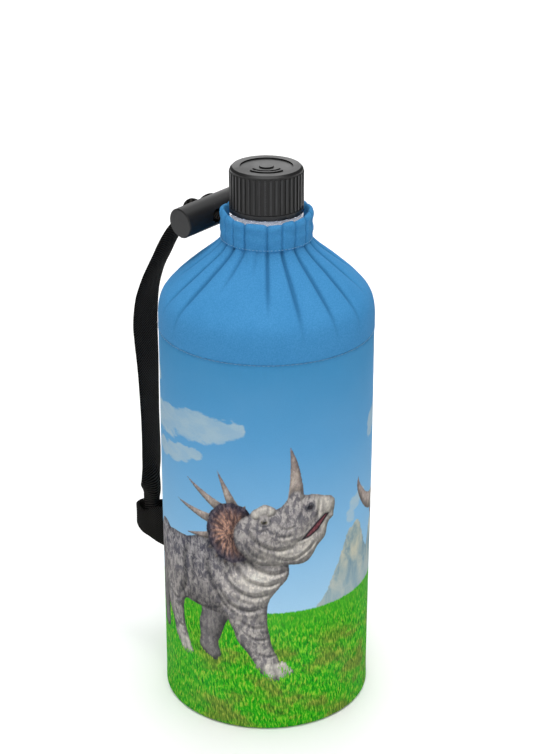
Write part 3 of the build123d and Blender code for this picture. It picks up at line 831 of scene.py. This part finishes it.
BLUE_LIGHT, BLUE_DARK, BLUE_FOLD_SHADE = srgb(76, 148, 202), srgb(60, 132, 184), srgb(18, 74, 112)
MATERIALS = {
    "print": printed_cloth(),
    "blue": plain_cloth("blue_cloth", BLUE_LIGHT, BLUE_DARK, BLUE_FOLD_SHADE),
    "base": base_cloth(),
    "webbing": webbing(),
    "cap": moulded_plastic("cap_plastic", srgb(27, 27, 27), srgb(58, 58, 59), 0.36, 15.12, 15.24),
    "toggle": moulded_plastic("toggle_plastic", srgb(29, 29, 30), srgb(70, 70, 72), 0.42, 60, 61),
    "glass": clear_glass(),
    "foam": bead_foam(),
    "liner": soft_liner(),
    "elastic": elastic_band(),
    "thread": sewing_thread("blue_thread", srgb(126, 178, 214), srgb(86, 146, 190)),
    "black_thread": sewing_thread("black_thread", srgb(52, 52, 54), srgb(18, 18, 20)),
}


def dress(node, material):
    """A carried-over CAD node gets its material."""
    NODES[node].data.materials.clear()
    NODES[node].data.materials.append(MATERIALS[material])


for node, material in (("glass_bottle", "glass"), ("screw_cap", "cap"), ("toggle_bar", "toggle"),
                       ("insulating_cup", "foam"), ("cap_liner", "liner")):
    dress(node, material)


# ---- printed wall ---------------------------------------------------------------------------
HEM_CORNER = 0.8                               # radius of the wall's lower edge


def wall_grid():
    """Columns round the wall, and radii and heights up it, closest where the near animal is."""
    left, right = BACK * COVER_R, (BACK + TURN) * COVER_R
    columns = np.concatenate([np.linspace(left, -62, 25)[:-1], np.linspace(-62, 34, 193)[:-1],
                              np.linspace(34, 140, 98)[:-1], np.linspace(140, right, 20)])
    turn = np.radians(np.linspace(-90, 0, 6))
    foot_r = COVER_R - HEM_CORNER + HEM_CORNER * np.cos(turn)
    foot_z = HEM_Z + HEM_CORNER + HEM_CORNER * np.sin(turn)
    wall_z = np.concatenate([np.linspace(HEM_Z + HEM_CORNER, 24, 16)[1:-1], np.linspace(24, 112, 177)[:-1],
                             np.linspace(112, 137, 32)[:-1], np.linspace(137, SEAM_Z, 20)])
    return columns, np.concatenate([foot_r, np.full(wall_z.shape, COVER_R)]), np.concatenate([foot_z, wall_z])


def wall_relief(grid_t, grid_z):
    """Cloth pulled over foam: faint hollows, and puckers where the seams draw it in."""
    soft = (0.16 * wobble(grid_t, 3, 6) * np.sin(grid_z / 31 + 1.1)
            + 0.10 * wobble(grid_t, 5, 9, 4) * np.sin(grid_z / 12 + 0.4))
    below_seam = np.exp(-(SEAM_Z - grid_z) / 2.6)
    pucker = 0.5 + 0.5 * np.cos(grid_t * 92 + 1.2 * wobble(grid_t, 8, 8, 5))
    above_hem = np.exp(-(grid_z - HEM_Z - HEM_CORNER) / 3.0) * (grid_z > HEM_Z + HEM_CORNER)
    return (soft * smoothstep(grid_z, HEM_Z, HEM_Z + 8) - 0.06 * below_seam
            + 0.16 * pucker * np.exp(-(SEAM_Z - grid_z) / 4.5) - 0.10 * above_hem * pucker)


def make_printed_wall():
    """The printed side panel: outside, turned top edge, inside and turned hem."""
    columns, outer_r, outer_z = wall_grid()
    theta = columns / COVER_R
    grid_t, grid_z = np.meshgrid(theta, outer_z)
    radius = np.repeat(outer_r[:, None], len(columns), 1)
    outer = around(radius + wall_relief(grid_t, grid_z), grid_t, grid_z)
    lip = around(COVER_R - 0.75, theta, SEAM_Z + 0.12)[None]
    inner_top = around(COVER_R - CLOTH, theta, SEAM_Z - 0.15)[None]
    inner_foot = around(COVER_R - CLOTH, theta, HEM_Z + 2.2)[None]
    turned_in = around(COVER_R - 2.8, theta, HEM_Z + 0.9)[None]
    points = np.concatenate([outer, lip, inner_top, inner_foot, turned_in])
    rows, cols = points.shape[:2]
    faces = grid_faces(rows, cols, wrap_rows=True)
    faces.append([r * cols for r in range(rows)])
    faces.append([r * cols + cols - 1 for r in reversed(range(rows))])
    piece = new_mesh("cover_print", points, faces, MATERIALS["print"])
    panel = np.zeros(points.shape)
    panel[..., 0] = columns[None]
    panel[:len(outer_z), :, 1] = outer_z[:, None]
    panel[len(outer_z):, :, 1] = np.array([SEAM_Z, SEAM_Z, HEM_Z, HEM_Z])[:, None]
    drawn = picture(columns, outer_z)
    set_attribute(piece, "panel", panel, "FLOAT_VECTOR")
    for name, values in drawn.items():
        extra = np.repeat(values[-1:], rows - len(outer_z), 0)
        kind = "FLOAT_COLOR" if values.ndim == 3 else "FLOAT"
        set_attribute(piece, name, np.concatenate([values, extra]), kind)
    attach(piece, "cover")
    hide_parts("cover_body")


# ---- gathered top and its collar ------------------------------------------------------------
# Folds of the gathers: angle at the collar from the picture's middle in degrees, depth in
# millimetres, how far down the shoulder it runs (0 at the collar, 1 at the seam), and lean.
FOLDS = [(-80, 0.9, 0.55, -6), (-62, 1.2, 0.86, -10), (-46, 1.3, 0.92, -11), (-29, 0.8, 0.48, -5),
         (-12, 0.35, 0.32, 0), (1, 1.15, 0.64, 0), (20, 1.3, 0.86, -1), (39, 1.3, 0.88, 0),
         (58, 1.25, 0.88, -1),
         (76, 1.0, 0.70, 2), (95, 1.1, 0.55, 4), (115, 0.9, 0.74, 3), (137, 1.2, 0.60, 0),
         (158, 1.0, 0.80, -4), (178, 1.2, 0.52, 2), (-160, 0.9, 0.76, 5), (-139, 1.2, 0.60, 0),
         (-118, 0.8, 0.68, -3), (-98, 1.1, 0.72, -5)]
# The shoulder's outline as (radius, height), from the seam up to the collar.
SHOULDER = [(45.05, 171.5), (45.15, 175.0), (45.0, 179.5), (44.1, 183.6), (42.3, 186.9), (39.9, 189.7),
            (37.5, 192.3), (34.6, 195.0), (31.8, 197.5), (28.9, 200.0), (25.7, 202.6), (22.6, 205.1),
            (20.2, 207.4), (18.6, 209.6), (17.9, 211.5)]


def fold_depth(theta, reach, wide_top, wide_foot, sharpness):
    """How deep the folds cut, 0 to about 1.3 mm, at an angle and a place down the shoulder."""
    depth = np.zeros(np.broadcast(theta, reach).shape)
    for angle, deep, run, lean in FOLDS:
        gap = (theta - np.radians(angle + lean * reach / run) + math.pi) % TURN - math.pi
        wide = wide_top + (wide_foot - wide_top) * np.clip(reach / run, 0, 1) ** 1.2
        fade = 1 - smoothstep(reach, run * 0.45, run * 1.10)
        sharp, soft = np.exp(-(gap / wide) ** 2), np.exp(-(gap / (3.4 * wide)) ** 2)
        depth = np.maximum(depth, deep * fade * (sharpness * sharp + (1 - sharpness) * soft))
    return depth


def make_gathered_top():
    """The shoulder: cloth drawn together towards the collar, its folds fading downwards."""
    line = spline(SHOULDER, 120)
    steps = lengths_along(line)
    even = np.linspace(0, steps[-1], 96)
    line = np.stack([np.interp(even, steps, line[:, 0]), np.interp(even, steps, line[:, 1])], -1)
    tangent = unit(np.gradient(line, axis=0))
    reach = 1 - even / steps[-1]                                # 0 at the collar, 1 at the seam
    theta = np.linspace(0, TURN, 560, endpoint=False)
    grid_t, grid_reach = np.meshgrid(theta, reach)
    depth = fold_depth(grid_t, grid_reach, 0.040, 0.024, 0.66)
    # how dark the painted shade along each fold is, narrower than the dent itself
    fold_shade_depth = fold_depth(grid_t, grid_reach, 0.034, 0.019, 0.92)
    swell = 0.32 * wobble(grid_t, 21, 7, 3) * np.sin(math.pi * np.clip(grid_reach, 0, 1)) ** 0.8
    puff = 0.16 * np.cos(grid_t * 18 + 0.9 * wobble(grid_t, 4, 5, 2))
    puff = puff * (1 - smoothstep(grid_reach, 0.1, 0.75))
    pucker = 0.06 * np.cos(grid_t * 92 + 1.2 * wobble(grid_t, 9, 8, 5))
    pucker = pucker * np.exp(-(1 - grid_reach) * 34)
    out = swell + puff + pucker - depth * (1.15 - 0.25 * grid_reach)
    tuck = 0.05 * np.exp(-(1 - grid_reach) * 60)
    normal = np.stack([tangent[:, 1], -tangent[:, 0]], -1)      # outward
    r = line[:, None, 0] + normal[:, None, 0] * (out - tuck)
    z = line[:, None, 1] + normal[:, None, 1] * (out - tuck)
    outer = around(r, grid_t, z)
    inner_rows = np.arange(len(line) - 1, -1, -5)
    r_in = r[inner_rows] - normal[inner_rows, None, 0] * 1.0
    z_in = z[inner_rows] - normal[inner_rows, None, 1] * 1.0
    points = np.concatenate([outer, around(r_in, grid_t[inner_rows], z_in)])
    rows, cols = points.shape[:2]
    piece = new_mesh("cover_gathered_top", points, ring_faces(rows, cols), MATERIALS["blue"])
    # painted shade: the fold attribute darkens the cloth along the sharp lines of the folds
    fold = np.concatenate([fold_shade_depth, fold_shade_depth[inner_rows]])
    set_attribute(piece, "fold", np.clip(fold, 0, 1) ** 1.2)
    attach(piece, "cover")
    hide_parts("cover_top")
    return piece


def make_elastic():
    """The band inside the casing: flat, ribbed, drawn up in shallow waves."""
    theta = np.linspace(0, TURN, 240, endpoint=False)
    wave = 0.06 * np.cos(theta * 38 + 1.4 * wobble(theta, 51, 6, 3))
    section = spline([(16.95, 211.4), (17.2, 211.4), (17.25, 214.4), (17.2, 217.4), (16.95, 217.4),
                      (16.9, 214.4)], 28, closed=True)
    points = around(section[:, :1] + wave, theta[None], section[:, 1:])
    piece = new_mesh("collar_elastic_band", points, ring_faces(len(section), len(theta)),
                     MATERIALS["elastic"])
    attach(piece, "cover")
    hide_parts("collar_elastic")


def make_collar():
    """The elastic casing: soft lobes between the folds, with an uneven, rounded top edge."""
    lobes = sorted(math.radians(a) % TURN for a, deep, _, _ in FOLDS if deep > 0.5)
    draw = np.random.default_rng(12)
    theta = np.linspace(0, TURN, 620, endpoint=False)
    count = len(lobes)
    tall, proud = draw.uniform(-0.35, 0.45, count), draw.uniform(0.8, 1.15, count)
    lean = draw.uniform(-1, 1, count)
    index = np.searchsorted(lobes, theta, side="right") - 1
    start = np.array(lobes)[index]
    width = (np.roll(lobes, -1)[index] - start) % TURN
    share = ((theta - start) % TURN) / width
    crown = np.clip(1 - np.abs(2 * share - 1) ** 4.5, 0, 1) ** 0.8  # 0 in the folds, 1 on a lobe's back
    tall, proud, lean = tall[index] * crown, proud[index], lean[index] * (share - 0.5)
    # the casing's section, from the shoulder up the outside, over the top and down inside
    section = spline([(17.5, 209.2), (18.4, 209.3), (18.9, 210.2), (19.15, 212.8), (19.05, 216.3),
                      (19.2, 219.4), (18.95, 221.0), (18.2, 221.7), (17.3, 221.3), (16.75, 219.4),
                      (16.7, 215.0), (16.8, 211.0)], 64, closed=True)
    upper = smoothstep(section[:, 1], 213, 221)[:, None]
    outside = smoothstep(section[:, 0], 17.2, 18.8)[:, None]
    dip = 1 - crown
    # the mouth sags at the front, where it has been pulled over the cap, and stands at the sides
    from_front = (theta + math.pi) % TURN - math.pi
    mouth = (-1.2 * np.exp(-(from_front / 0.95) ** 2)
             + 0.9 * np.exp(-((np.abs(from_front) - 1.5) / 0.42) ** 2))
    r = section[:, :1] - outside * (1.15 * dip ** 1.1) * proud
    r = r + outside * (0.20 * wobble(theta, 31, 6, 3) - 0.05)
    creep = 0.16 * np.sin(section[:, 1:] * 1.15 + 2.5 * wobble(theta, 40, 7, 5))
    r = r + outside * (0.35 * lean * upper + creep)
    z = section[:, 1:] + upper * (tall + mouth + 0.25 * wobble(theta, 6, 4, 2) - 0.75 * dip)
    points = around(r, theta[None], z)
    piece = new_mesh("cover_collar_gathers", points, ring_faces(len(section), len(theta)),
                     MATERIALS["blue"])
    # painted shade: the fold attribute darkens the outside of the casing in the folds between the lobes
    set_attribute(piece, "fold", np.broadcast_to(np.clip(dip, 0, 1) ** 2 * outside * 0.8, r.shape))
    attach(piece, "cover")
    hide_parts("cover_collar")
    return piece


# ---- stitches -------------------------------------------------------------------------------
STITCH_SIDES = 6
STITCH_LIFT = 0.35
STITCH_RINGS = ((0.0, 0.45), (0.25, 0.95), (0.5, 1.0), (0.75, 0.95), (1.0, 0.45))  # place, size


def stitch_points(a, b, out, thick):
    """Rings of one stitch: a short thread from a to b that bulges along out."""
    a, b, out = (np.asarray(x, float) for x in (a, b, out))
    run = b - a
    side = np.cross(run, out)
    side /= np.linalg.norm(side)
    turn = np.arange(STITCH_SIDES) * TURN / STITCH_SIDES
    rings = []
    for t, size in STITCH_RINGS:
        middle = a + run * t + out * STITCH_LIFT * (math.sin(math.pi * t) - 0.35)
        rings.append(middle + thick * size * (np.outer(np.cos(turn), side) + np.outer(np.sin(turn), out)))
    return np.concatenate(rings)


def sew(name, stitches, material, body, replaced=()):
    """Joins stitches, each (from, to, outward, thickness), into one piece."""
    points, faces = [], []
    for a, b, out, thick in stitches:
        first = sum(len(p) for p in points)
        points.append(stitch_points(a, b, out, thick))
        faces += tube_faces(len(STITCH_RINGS), STITCH_SIDES, first)
    piece = new_mesh(name, np.concatenate(points), faces, MATERIALS[material])
    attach(piece, body)
    if replaced:
        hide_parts(*replaced)


def ring_stitches(radius, z, pitch, thick, share=0.72):
    """A round of stitches; share is how much of the pitch each one covers."""
    count = round(TURN * radius / pitch)
    made = []
    for k in range(count):
        t0 = TURN * k / count
        t1 = t0 + TURN / count * share
        middle = (t0 + t1) / 2
        out = around(1.0, middle, 0.0)
        made.append((around(radius, t0, z), around(radius, t1, z), out, thick))
    return made


def make_stitching():
    """Thread lines at the shoulder, the base, the collar and both sides of the back seam."""
    sew("shoulder_seam_stitches", ring_stitches(COVER_R + 0.02, SEAM_Z + 0.2, 1.9, 0.13, 0.86), "thread",
        "cover", ["shoulder_seam"])
    base_ring = []
    for a, b, out, thick in ring_stitches(COVER_R - 2.75, 0.42, 2.6, 0.16):
        base_ring.append((a, b, np.array([0, 0, -1.0]), thick))
    sew("base_seam_stitches", base_ring, "thread", "cover", ["base_seam"])
    sew("collar_stitches", ring_stitches(18.8, 210.1, 1.5, 0.12, 0.8), "thread", "cover")
    rows, ridge = [], COVER_R + 0.33
    for side in (-1, 1):
        z = 5.0
        while z < SEAM_Z - 3:
            if not tab_low[2] - 2 < z < tab_high[2] + 1:
                angle = BACK + side * 1.35 / COVER_R
                out = around(1.0, angle, 0.0)
                rows.append((around(ridge, angle, z), around(ridge, angle, z + 1.7), out, 0.14))
            z += 2.4
    sew("side_seam_stitches", rows, "thread", "cover")


def make_side_seam():
    """Turned cloth up the back: a low rounded ridge with a sunk line along its middle."""
    across = np.linspace(-2.6, 2.6, 15)
    lift = 0.48 * (1 - np.abs(across / 2.6) ** 3) - 0.42 * np.exp(-(across / 0.35) ** 2)
    z = np.linspace(3.6, SEAM_Z - 0.3, 150)
    grid_x, grid_z = np.meshgrid(across, z)
    bumpy = 0.05 * np.sin(grid_z * 2.6) + 0.04 * np.sin(grid_z * 0.7 + grid_x)
    radius = COVER_R + lift[None] + bumpy * (np.abs(grid_x) < 2.2)
    outer = around(radius, BACK + grid_x / COVER_R, grid_z)
    inner = around(COVER_R - 0.45, BACK + grid_x[:, ::-1] / COVER_R, grid_z)
    points = np.concatenate([outer, inner], 1)
    piece = new_mesh("side_seam_fold", points, tube_faces(*points.shape[:2]), MATERIALS["print"])
    # the print runs on over the seam: only sky and meadow reach this far round
    panel = np.zeros(points.shape)
    panel[..., 0] = BACK * COVER_R + np.concatenate([grid_x, grid_x[:, ::-1]], 1)
    panel[..., 1] = np.concatenate([grid_z, grid_z], 1)
    set_attribute(piece, "panel", panel, "FLOAT_VECTOR")
    set_attribute(piece, "beast_rgb", np.ones(points.shape[:2] + (4,)), "FLOAT_COLOR")
    for name, value in (("beast_edge", 40.0), ("mountain_edge", 40.0), ("cloud", 0.0)):
        set_attribute(piece, name, np.full(points.shape[:2], value))
    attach(piece, "cover")
    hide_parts("side_seam")


def make_base():
    """Round base panel: flat, with a turned, stitched rim."""
    rim = COVER_R - 2.45
    radii = np.concatenate([[0.01], np.linspace(4, rim - 2.4, 14),
                            rim - np.array([1.6, 0.9, 0.35, 0.0, 0.0])])
    low = np.concatenate([np.zeros(15), [0.0, 0.04, 0.22, 0.6, 1.3]])
    theta = np.linspace(0, TURN, 160, endpoint=False)
    dimple = 0.10 * np.exp(-((radii - (rim - 3.6)) / 0.7) ** 2)
    r = np.concatenate([radii, radii[::-1]])
    z = np.concatenate([low + dimple, np.full(len(radii), 1.45)])
    points = around(r[:, None], theta[None], z[:, None])
    piece = new_mesh("base_panel", points, ring_faces(len(r), len(theta)), MATERIALS["base"])
    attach(piece, "cover")
    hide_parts("cover_base")


# ---- webbing --------------------------------------------------------------------------------
SWEPT_STEPS = 14


def ribbon(name, centres, across, flat, wide, thick, curl):
    """Webbing swept along centres. across and flat are unit vectors; curl cups its section."""
    n = len(centres)
    wide, thick, curl = (np.broadcast_to(np.asarray(x, float), (n,)) for x in (wide, thick, curl))
    s = np.linspace(-1, 1, SWEPT_STEPS)
    edge = np.sqrt(np.clip(1 - np.abs(s) ** 9, 0, 1)) * 0.5
    ring_s = np.concatenate([s, s[::-1]])
    ring_t = np.concatenate([edge, -edge[::-1]])
    cup = curl[:, None] * (1 - ring_s[None] ** 2 * 1.6)
    points = (centres[:, None] + across[:, None] * (ring_s[None] * wide[:, None] / 2)[..., None]
              + flat[:, None] * (ring_t[None] * thick[:, None] + cup)[..., None])
    cols = len(ring_s)
    piece = new_mesh(name, points, tube_faces(n, cols), MATERIALS["webbing"])
    set_attribute(piece, "along", np.repeat(lengths_along(centres)[:, None], cols, 1))
    set_attribute(piece, "across", np.broadcast_to(ring_s[None] * 10.0, (n, cols)))
    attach(piece, "cover")
    return piece


# The strap's route in the plane of the side seam: y, z, width, turn of its width from X to Y
# in degrees, and fold, from 0 flat to 1 folded.
STRAP = [(42.6, 211.3, 7.2, -28, 0), (45.2, 208.2, 7.8, -23, 0), (49.3, 204.0, 8.6, -17, 0),
         (54.2, 198.9, 9.6, -10, 0), (58.9, 192.2, 11.2, -2, 0), (63.2, 184.8, 12.8, 4, 0),
         (67.4, 178.2, 14.6, 9, 0), (71.0, 171.8, 16.6, 12, 0), (74.6, 163.5, 18.8, 14.5, 0),
         (76.6, 152.5, 20, 15.6, 0), (76.5, 143.0, 20, 17.6, 0), (75.5, 129.0, 20, 21.2, 0),
         (74.9, 111.4, 20, 24.4, 0), (74.5, 99.0, 20, 25.2, 0), (74.0, 88.0, 20, 24.6, 0.03),
         (73.2, 80.0, 20, 24, 0.12), (72.6, 74.0, 20, 23, 0.34), (74.1, 68.0, 20, 22, 0.68),
         (76.6, 62.5, 20, 21, 0.96), (76.7, 57.0, 20, 20, 1), (76.2, 43.4, 20, 19, 1)]
STRAP_WIDE, STRAP_THICK = 20, 1.3
FOLD_NEAR, FOLD_BACK = 0.35, 0.15              # shares of the width: near side, back of the fold
FOLD_CLOSE, FOLD_SHIFT = math.radians(94), -4.9


def make_strap():
    """Flat webbing that is bunched at the knot and folded lengthwise where it goes into the tab."""
    route = spline(STRAP, 300)
    centres = np.stack([np.zeros(len(route)), route[:, 0], route[:, 1]], -1)
    run = unit(np.gradient(centres, axis=0))
    sideways = np.array([1.0, 0, 0])
    outward = np.stack([np.zeros(len(run)), -run[:, 2], run[:, 1]], -1)
    wide, turn, fold = route[:, 2:3], np.radians(route[:, 3:4]), np.clip(route[:, 4:5], 0, 1)
    steps = 44
    share = np.linspace(-0.5, 0.5, steps)[None]
    q = share * wide
    back_from, back_to = (FOLD_NEAR - 0.5) * wide, (FOLD_NEAR + FOLD_BACK - 0.5) * wide
    goal = FOLD_CLOSE * (0.5 * np.tanh((q - back_from) / 0.45) + 0.5 * np.tanh((q - back_to) / 0.45))
    t = np.linspace(0, 1, len(route))[:, None]
    cup = np.radians(5 + 70 * np.clip(1 - wide / STRAP_WIDE, 0, 1) + 5 * np.sin(9 * t + 0.6))
    angle = (turn + cup * 2 * share) * (1 - fold) + goal * fold
    dq = wide / (steps - 1)
    line_x, line_y = np.cumsum(np.cos(angle), 1) * dq, np.cumsum(np.sin(angle), 1) * dq
    middle = np.argmin(np.abs(share[0] - (FOLD_NEAR + FOLD_BACK / 2 - 0.5)))
    flat_middle = -(0.5 - FOLD_NEAR - FOLD_BACK / 2) * wide
    line_x += flat_middle * np.cos(turn) * (1 - fold) - line_x[:, middle:middle + 1]
    line_y += flat_middle * np.sin(turn) * (1 - fold) + FOLD_SHIFT * fold - line_y[:, middle:middle + 1]
    edge = 0.5 * STRAP_THICK * np.sqrt(np.clip(1 - np.abs(2 * share) ** 14, 0, 1))
    rib = 0.04 * np.sin(t * 900) * (np.abs(share) < 0.44)
    sheets = []
    for sign in (1, -1):
        x = line_x - sign * np.sin(angle) * (edge + rib)
        y = line_y + sign * np.cos(angle) * (edge + rib)
        sheets.append(centres[:, None] + x[..., None] * sideways + y[..., None] * outward[:, None])
    points = np.concatenate([sheets[0], sheets[1][:, ::-1]], 1)
    cols = 2 * steps
    piece = new_mesh("carry_strap_webbing", points, tube_faces(len(route), cols), MATERIALS["webbing"])
    ring = np.concatenate([share, share[:, ::-1]], 1) * STRAP_WIDE
    set_attribute(piece, "along", np.repeat(lengths_along(centres)[:, None], cols, 1))
    set_attribute(piece, "across", np.broadcast_to(ring, (len(route), cols)))
    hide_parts("carry_strap")
    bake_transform(piece)


def swept(name, path, wide, thick, count, twist=0.0):
    """Bunched webbing along a smooth path, its flat side turning with it."""
    centres = spline(path, count)
    run = unit(np.gradient(centres, axis=0))
    flat = np.zeros(centres.shape)
    guess = np.array([0.0, 0.0, 1.0])
    for k in range(count):
        guess = guess - run[k] * (guess @ run[k])
        guess /= np.linalg.norm(guess)
        flat[k] = guess
    angle = (np.linspace(0, 1, count) * twist)[:, None]
    side = np.cross(run, flat)
    flat, side = flat * np.cos(angle) + side * np.sin(angle), side * np.cos(angle) - flat * np.sin(angle)
    return ribbon(name, centres, side, flat, wide, thick, 0.10 * np.asarray(wide))


def make_knot():
    """Tail through the toggle, an overhand knot behind it, and the neck of the strap."""
    hole = (toggle_low + toggle_high) / 2
    back = toggle_high[1]
    through = [(hole[0] + 0.8, COLLAR_R - 2.0, hole[2] + 0.6), (hole[0] + 0.2, hole[1] - 6.5, hole[2]),
               (hole[0], hole[1], hole[2]), (hole[0], back + 1.5, hole[2])]
    tail = swept("strap_tail_webbing", through, 4.9, 2.3, 40)
    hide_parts("strap_tail")
    turns = [(0, -1.5, 0), (0.2, 2.6, -0.4), (1.4, 5.9, -2.6), (5.4, 6.8, -3.8), (10.2, 4.8, -2.2),
             (11.2, 2.5, 0.2), (7.6, 2.2, 0.5), (4.0, 2.9, -2.6), (0.3, 3.3, -3.8), (-1.9, 4.2, -1.6),
             (-0.5, 4.6, 0.9), (3.1, 5.6, -0.4), (5.2, 6.9, -2.2), (6.1, 8.8, -4.2)]
    path = [(hole[0] + x, back + y, hole[2] + z) for x, y, z in turns]
    knot = swept("strap_knot_webbing", path, 6.2, 2.8, 170, twist=2.6)
    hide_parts("strap_knot")


def make_tab():
    """Folded webbing sewn into the side seam: two layers that open round the strap's foot."""
    root_y, tip_y = 45.0, tab_high[1]
    # one layer out, round the fold, and back, as seen from above
    loop = [(-1.0, root_y), (-1.0, root_y + 6), (-1.15, root_y + 13), (-1.9, root_y + 19),
            (-3.3, root_y + 25), (-3.5, tip_y - 6.5), (-2.6, tip_y - 2.3), (0, tip_y - 0.75),
            (2.6, tip_y - 2.3), (3.4, tip_y - 6.5), (3.2, root_y + 25), (1.9, root_y + 19),
            (1.15, root_y + 13), (1.0, root_y + 6), (1.0, root_y)]
    path = spline(loop, 150)
    run = unit(np.gradient(path, axis=0))
    outward = np.stack([run[:, 1], -run[:, 0], np.zeros(len(run))], -1) * -1
    out = path[:, 1]
    # the loop is drawn together at its outer end, and its near layer sags round the strap
    low = tab_low[2] + 0.6 + 1.2 * smoothstep(out, root_y + 4, tip_y)
    low = low + 4.4 * smoothstep(out, tip_y - 8, tip_y + 0.4) ** 1.4
    low = low + 2.1 * smoothstep(out, root_y + 16, tip_y - 8) - 0.8 * smoothstep(out, tip_y - 5, tip_y)
    sag = np.where(path[:, 0] < 0, 3.4, 1.2) * np.exp(-((out - (tip_y - 8)) / 4.6) ** 2)
    high = tab_high[2] - 0.2 + np.where(path[:, 0] > 0, 1.6, 0.4) * smoothstep(out, tip_y - 4, tip_y - 14)
    high = high - 3.0 * smoothstep(out, root_y + 12, tip_y - 2) - 1.4 * smoothstep(out, tip_y - 3.4, tip_y)
    steps = 22
    rows = [np.stack([path[:, 0], out, low + (high - low) * s - sag * s ** 3], -1)
            for s in np.linspace(0, 1, steps)]
    middle = np.array(rows).transpose(1, 0, 2)                 # along the path, then up
    edge = np.linspace(-1, 1, steps)
    half = 0.72 * np.sqrt(np.clip(1 - np.abs(edge) ** 10, 0.02, 1))
    puff = 0.25 * np.sin(path[:, 1] * 0.5)[:, None] * (1 - edge[None] ** 2)
    outer = middle + outward[:, None] * (half[None] + puff)[..., None]
    inner = middle - outward[:, None] * (half[None] - puff)[..., None]
    points = np.concatenate([outer, inner[:, ::-1]], 1)
    cols = points.shape[1]
    piece = new_mesh("anchor_tab_webbing", points, tube_faces(len(path), cols), MATERIALS["webbing"])
    set_attribute(piece, "along", np.repeat(lengths_along(path)[:, None], cols, 1))
    ring = np.concatenate([edge, edge[::-1]]) * -32
    set_attribute(piece, "across", np.broadcast_to(ring[None], (len(path), cols)))
    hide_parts("anchor_tab")
    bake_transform(piece)
    stitches = []
    for side in (-1, 1):
        for y, x in ((root_y + 3.2, 1.86), (root_y + 14.0, 1.98)):
            for z in np.arange(tab_low[2] + 2.0, tab_high[2] - 4.0, 2.1):
                stitches.append(((side * x, y, z), (side * x, y, z + 1.5), (side, 0, 0), 0.16))
    sew("tab_stitches", stitches, "black_thread", "strap")


make_printed_wall()
top = make_gathered_top()
collar = make_collar()
make_elastic()
make_stitching()
make_side_seam()
make_base()
make_strap()
make_knot()
make_tab()


# ---- floor, light and camera ----------------------------------------------------------------
AMBIENT = 0.12                                 # how strongly the white studio lights the object
FOCAL_MM, SENSOR_MM = 90.7, 36.0
CAMERA_PLACE = (-0.5185, -0.5185, 0.4725)
LOOKS_DOWN = math.radians(23.96)


def make_floor():
    """A wide, plain, nearly white floor."""
    floor = Paint("pale_floor", Roughness=0.9)
    greys = [(0.3, (0.95, 0.95, 0.95, 1)), (0.7, (0.97, 0.97, 0.97, 1))]
    floor.to("Base Color", floor.ramp(floor.noise(floor.place(), 9, 3), greys))
    size = 3000
    piece = new_mesh("floor", [(-size, -size, 0), (size, -size, 0), (size, size, 0), (-size, size, 0)],
                     [[0, 1, 2, 3]], floor.material)


def aim(thing, place, target):
    thing.location = Vector(place)
    thing.rotation_euler = (Vector(target) - Vector(place)).to_track_quat("-Z", "Y").to_euler()


def stand(name, data, place, target):
    """Puts a lamp or camera in the scene and turns it to its target."""
    thing = bpy.data.objects.new(name, data)
    bpy.context.scene.collection.objects.link(thing)
    aim(thing, place, target)
    return thing


def soft_light(name, place, target, size, power):
    lamp = bpy.data.lights.new(name, "AREA")
    lamp.shape, lamp.size, lamp.energy = "SQUARE", size, power
    stand(name, lamp, place, target)


def soft_sun(name, place, spread, strength):
    lamp = bpy.data.lights.new(name, "SUN")
    lamp.angle, lamp.energy = math.radians(spread), strength
    stand(name, lamp, place, (0, 0, 0))


def make_camera():
    lens = bpy.data.cameras.new("camera")
    lens.lens, lens.sensor_width, lens.sensor_fit = FOCAL_MM, SENSOR_MM, "AUTO"
    lens.clip_start, lens.clip_end = 0.05, 20
    place = Vector(CAMERA_PLACE)
    level = math.cos(LOOKS_DOWN) / math.sqrt(2)                # the same share along X and Y
    heading = Vector((level, level, -math.sin(LOOKS_DOWN)))
    bpy.context.scene.camera = stand("camera", lens, place, place + heading)


def make_world():
    """White studio: seen as pure white, and lighting the object more softly."""
    world = bpy.data.worlds.new("studio")
    bpy.context.scene.world = world
    world.use_nodes = True
    tree = world.node_tree
    backdrop, ambient = tree.nodes["Background"], tree.nodes.new("ShaderNodeBackground")
    for background, strength in ((backdrop, 1.0), (ambient, AMBIENT)):
        background.inputs["Color"].default_value = (1, 1, 1, 1)
        background.inputs["Strength"].default_value = strength
    ray, choose = tree.nodes.new("ShaderNodeLightPath"), tree.nodes.new("ShaderNodeMixShader")
    seen = tree.nodes.new("ShaderNodeMath")                    # seen directly or through the glass
    seen.operation = "MAXIMUM"
    tree.links.new(ray.outputs["Is Camera Ray"], seen.inputs[0])
    tree.links.new(ray.outputs["Is Transmission Ray"], seen.inputs[1])
    tree.links.new(seen.outputs[0], choose.inputs[0])
    tree.links.new(ambient.outputs[0], choose.inputs[1])
    tree.links.new(backdrop.outputs[0], choose.inputs[2])
    tree.links.new(choose.outputs[0], tree.nodes["World Output"].inputs["Surface"])


make_floor()
make_world()
soft_sun("overhead", (0.0, 0.0, 1.0), 60, 3.0)
soft_sun("key", (-0.6, -0.6, 0.6), 40, 0.86)
soft_light("back", (1.0, 1.0, 0.87), (0, 0, 0.22), 1.0, 5.0)
bpy.context.scene.view_settings.view_transform = "Standard"
make_camera()
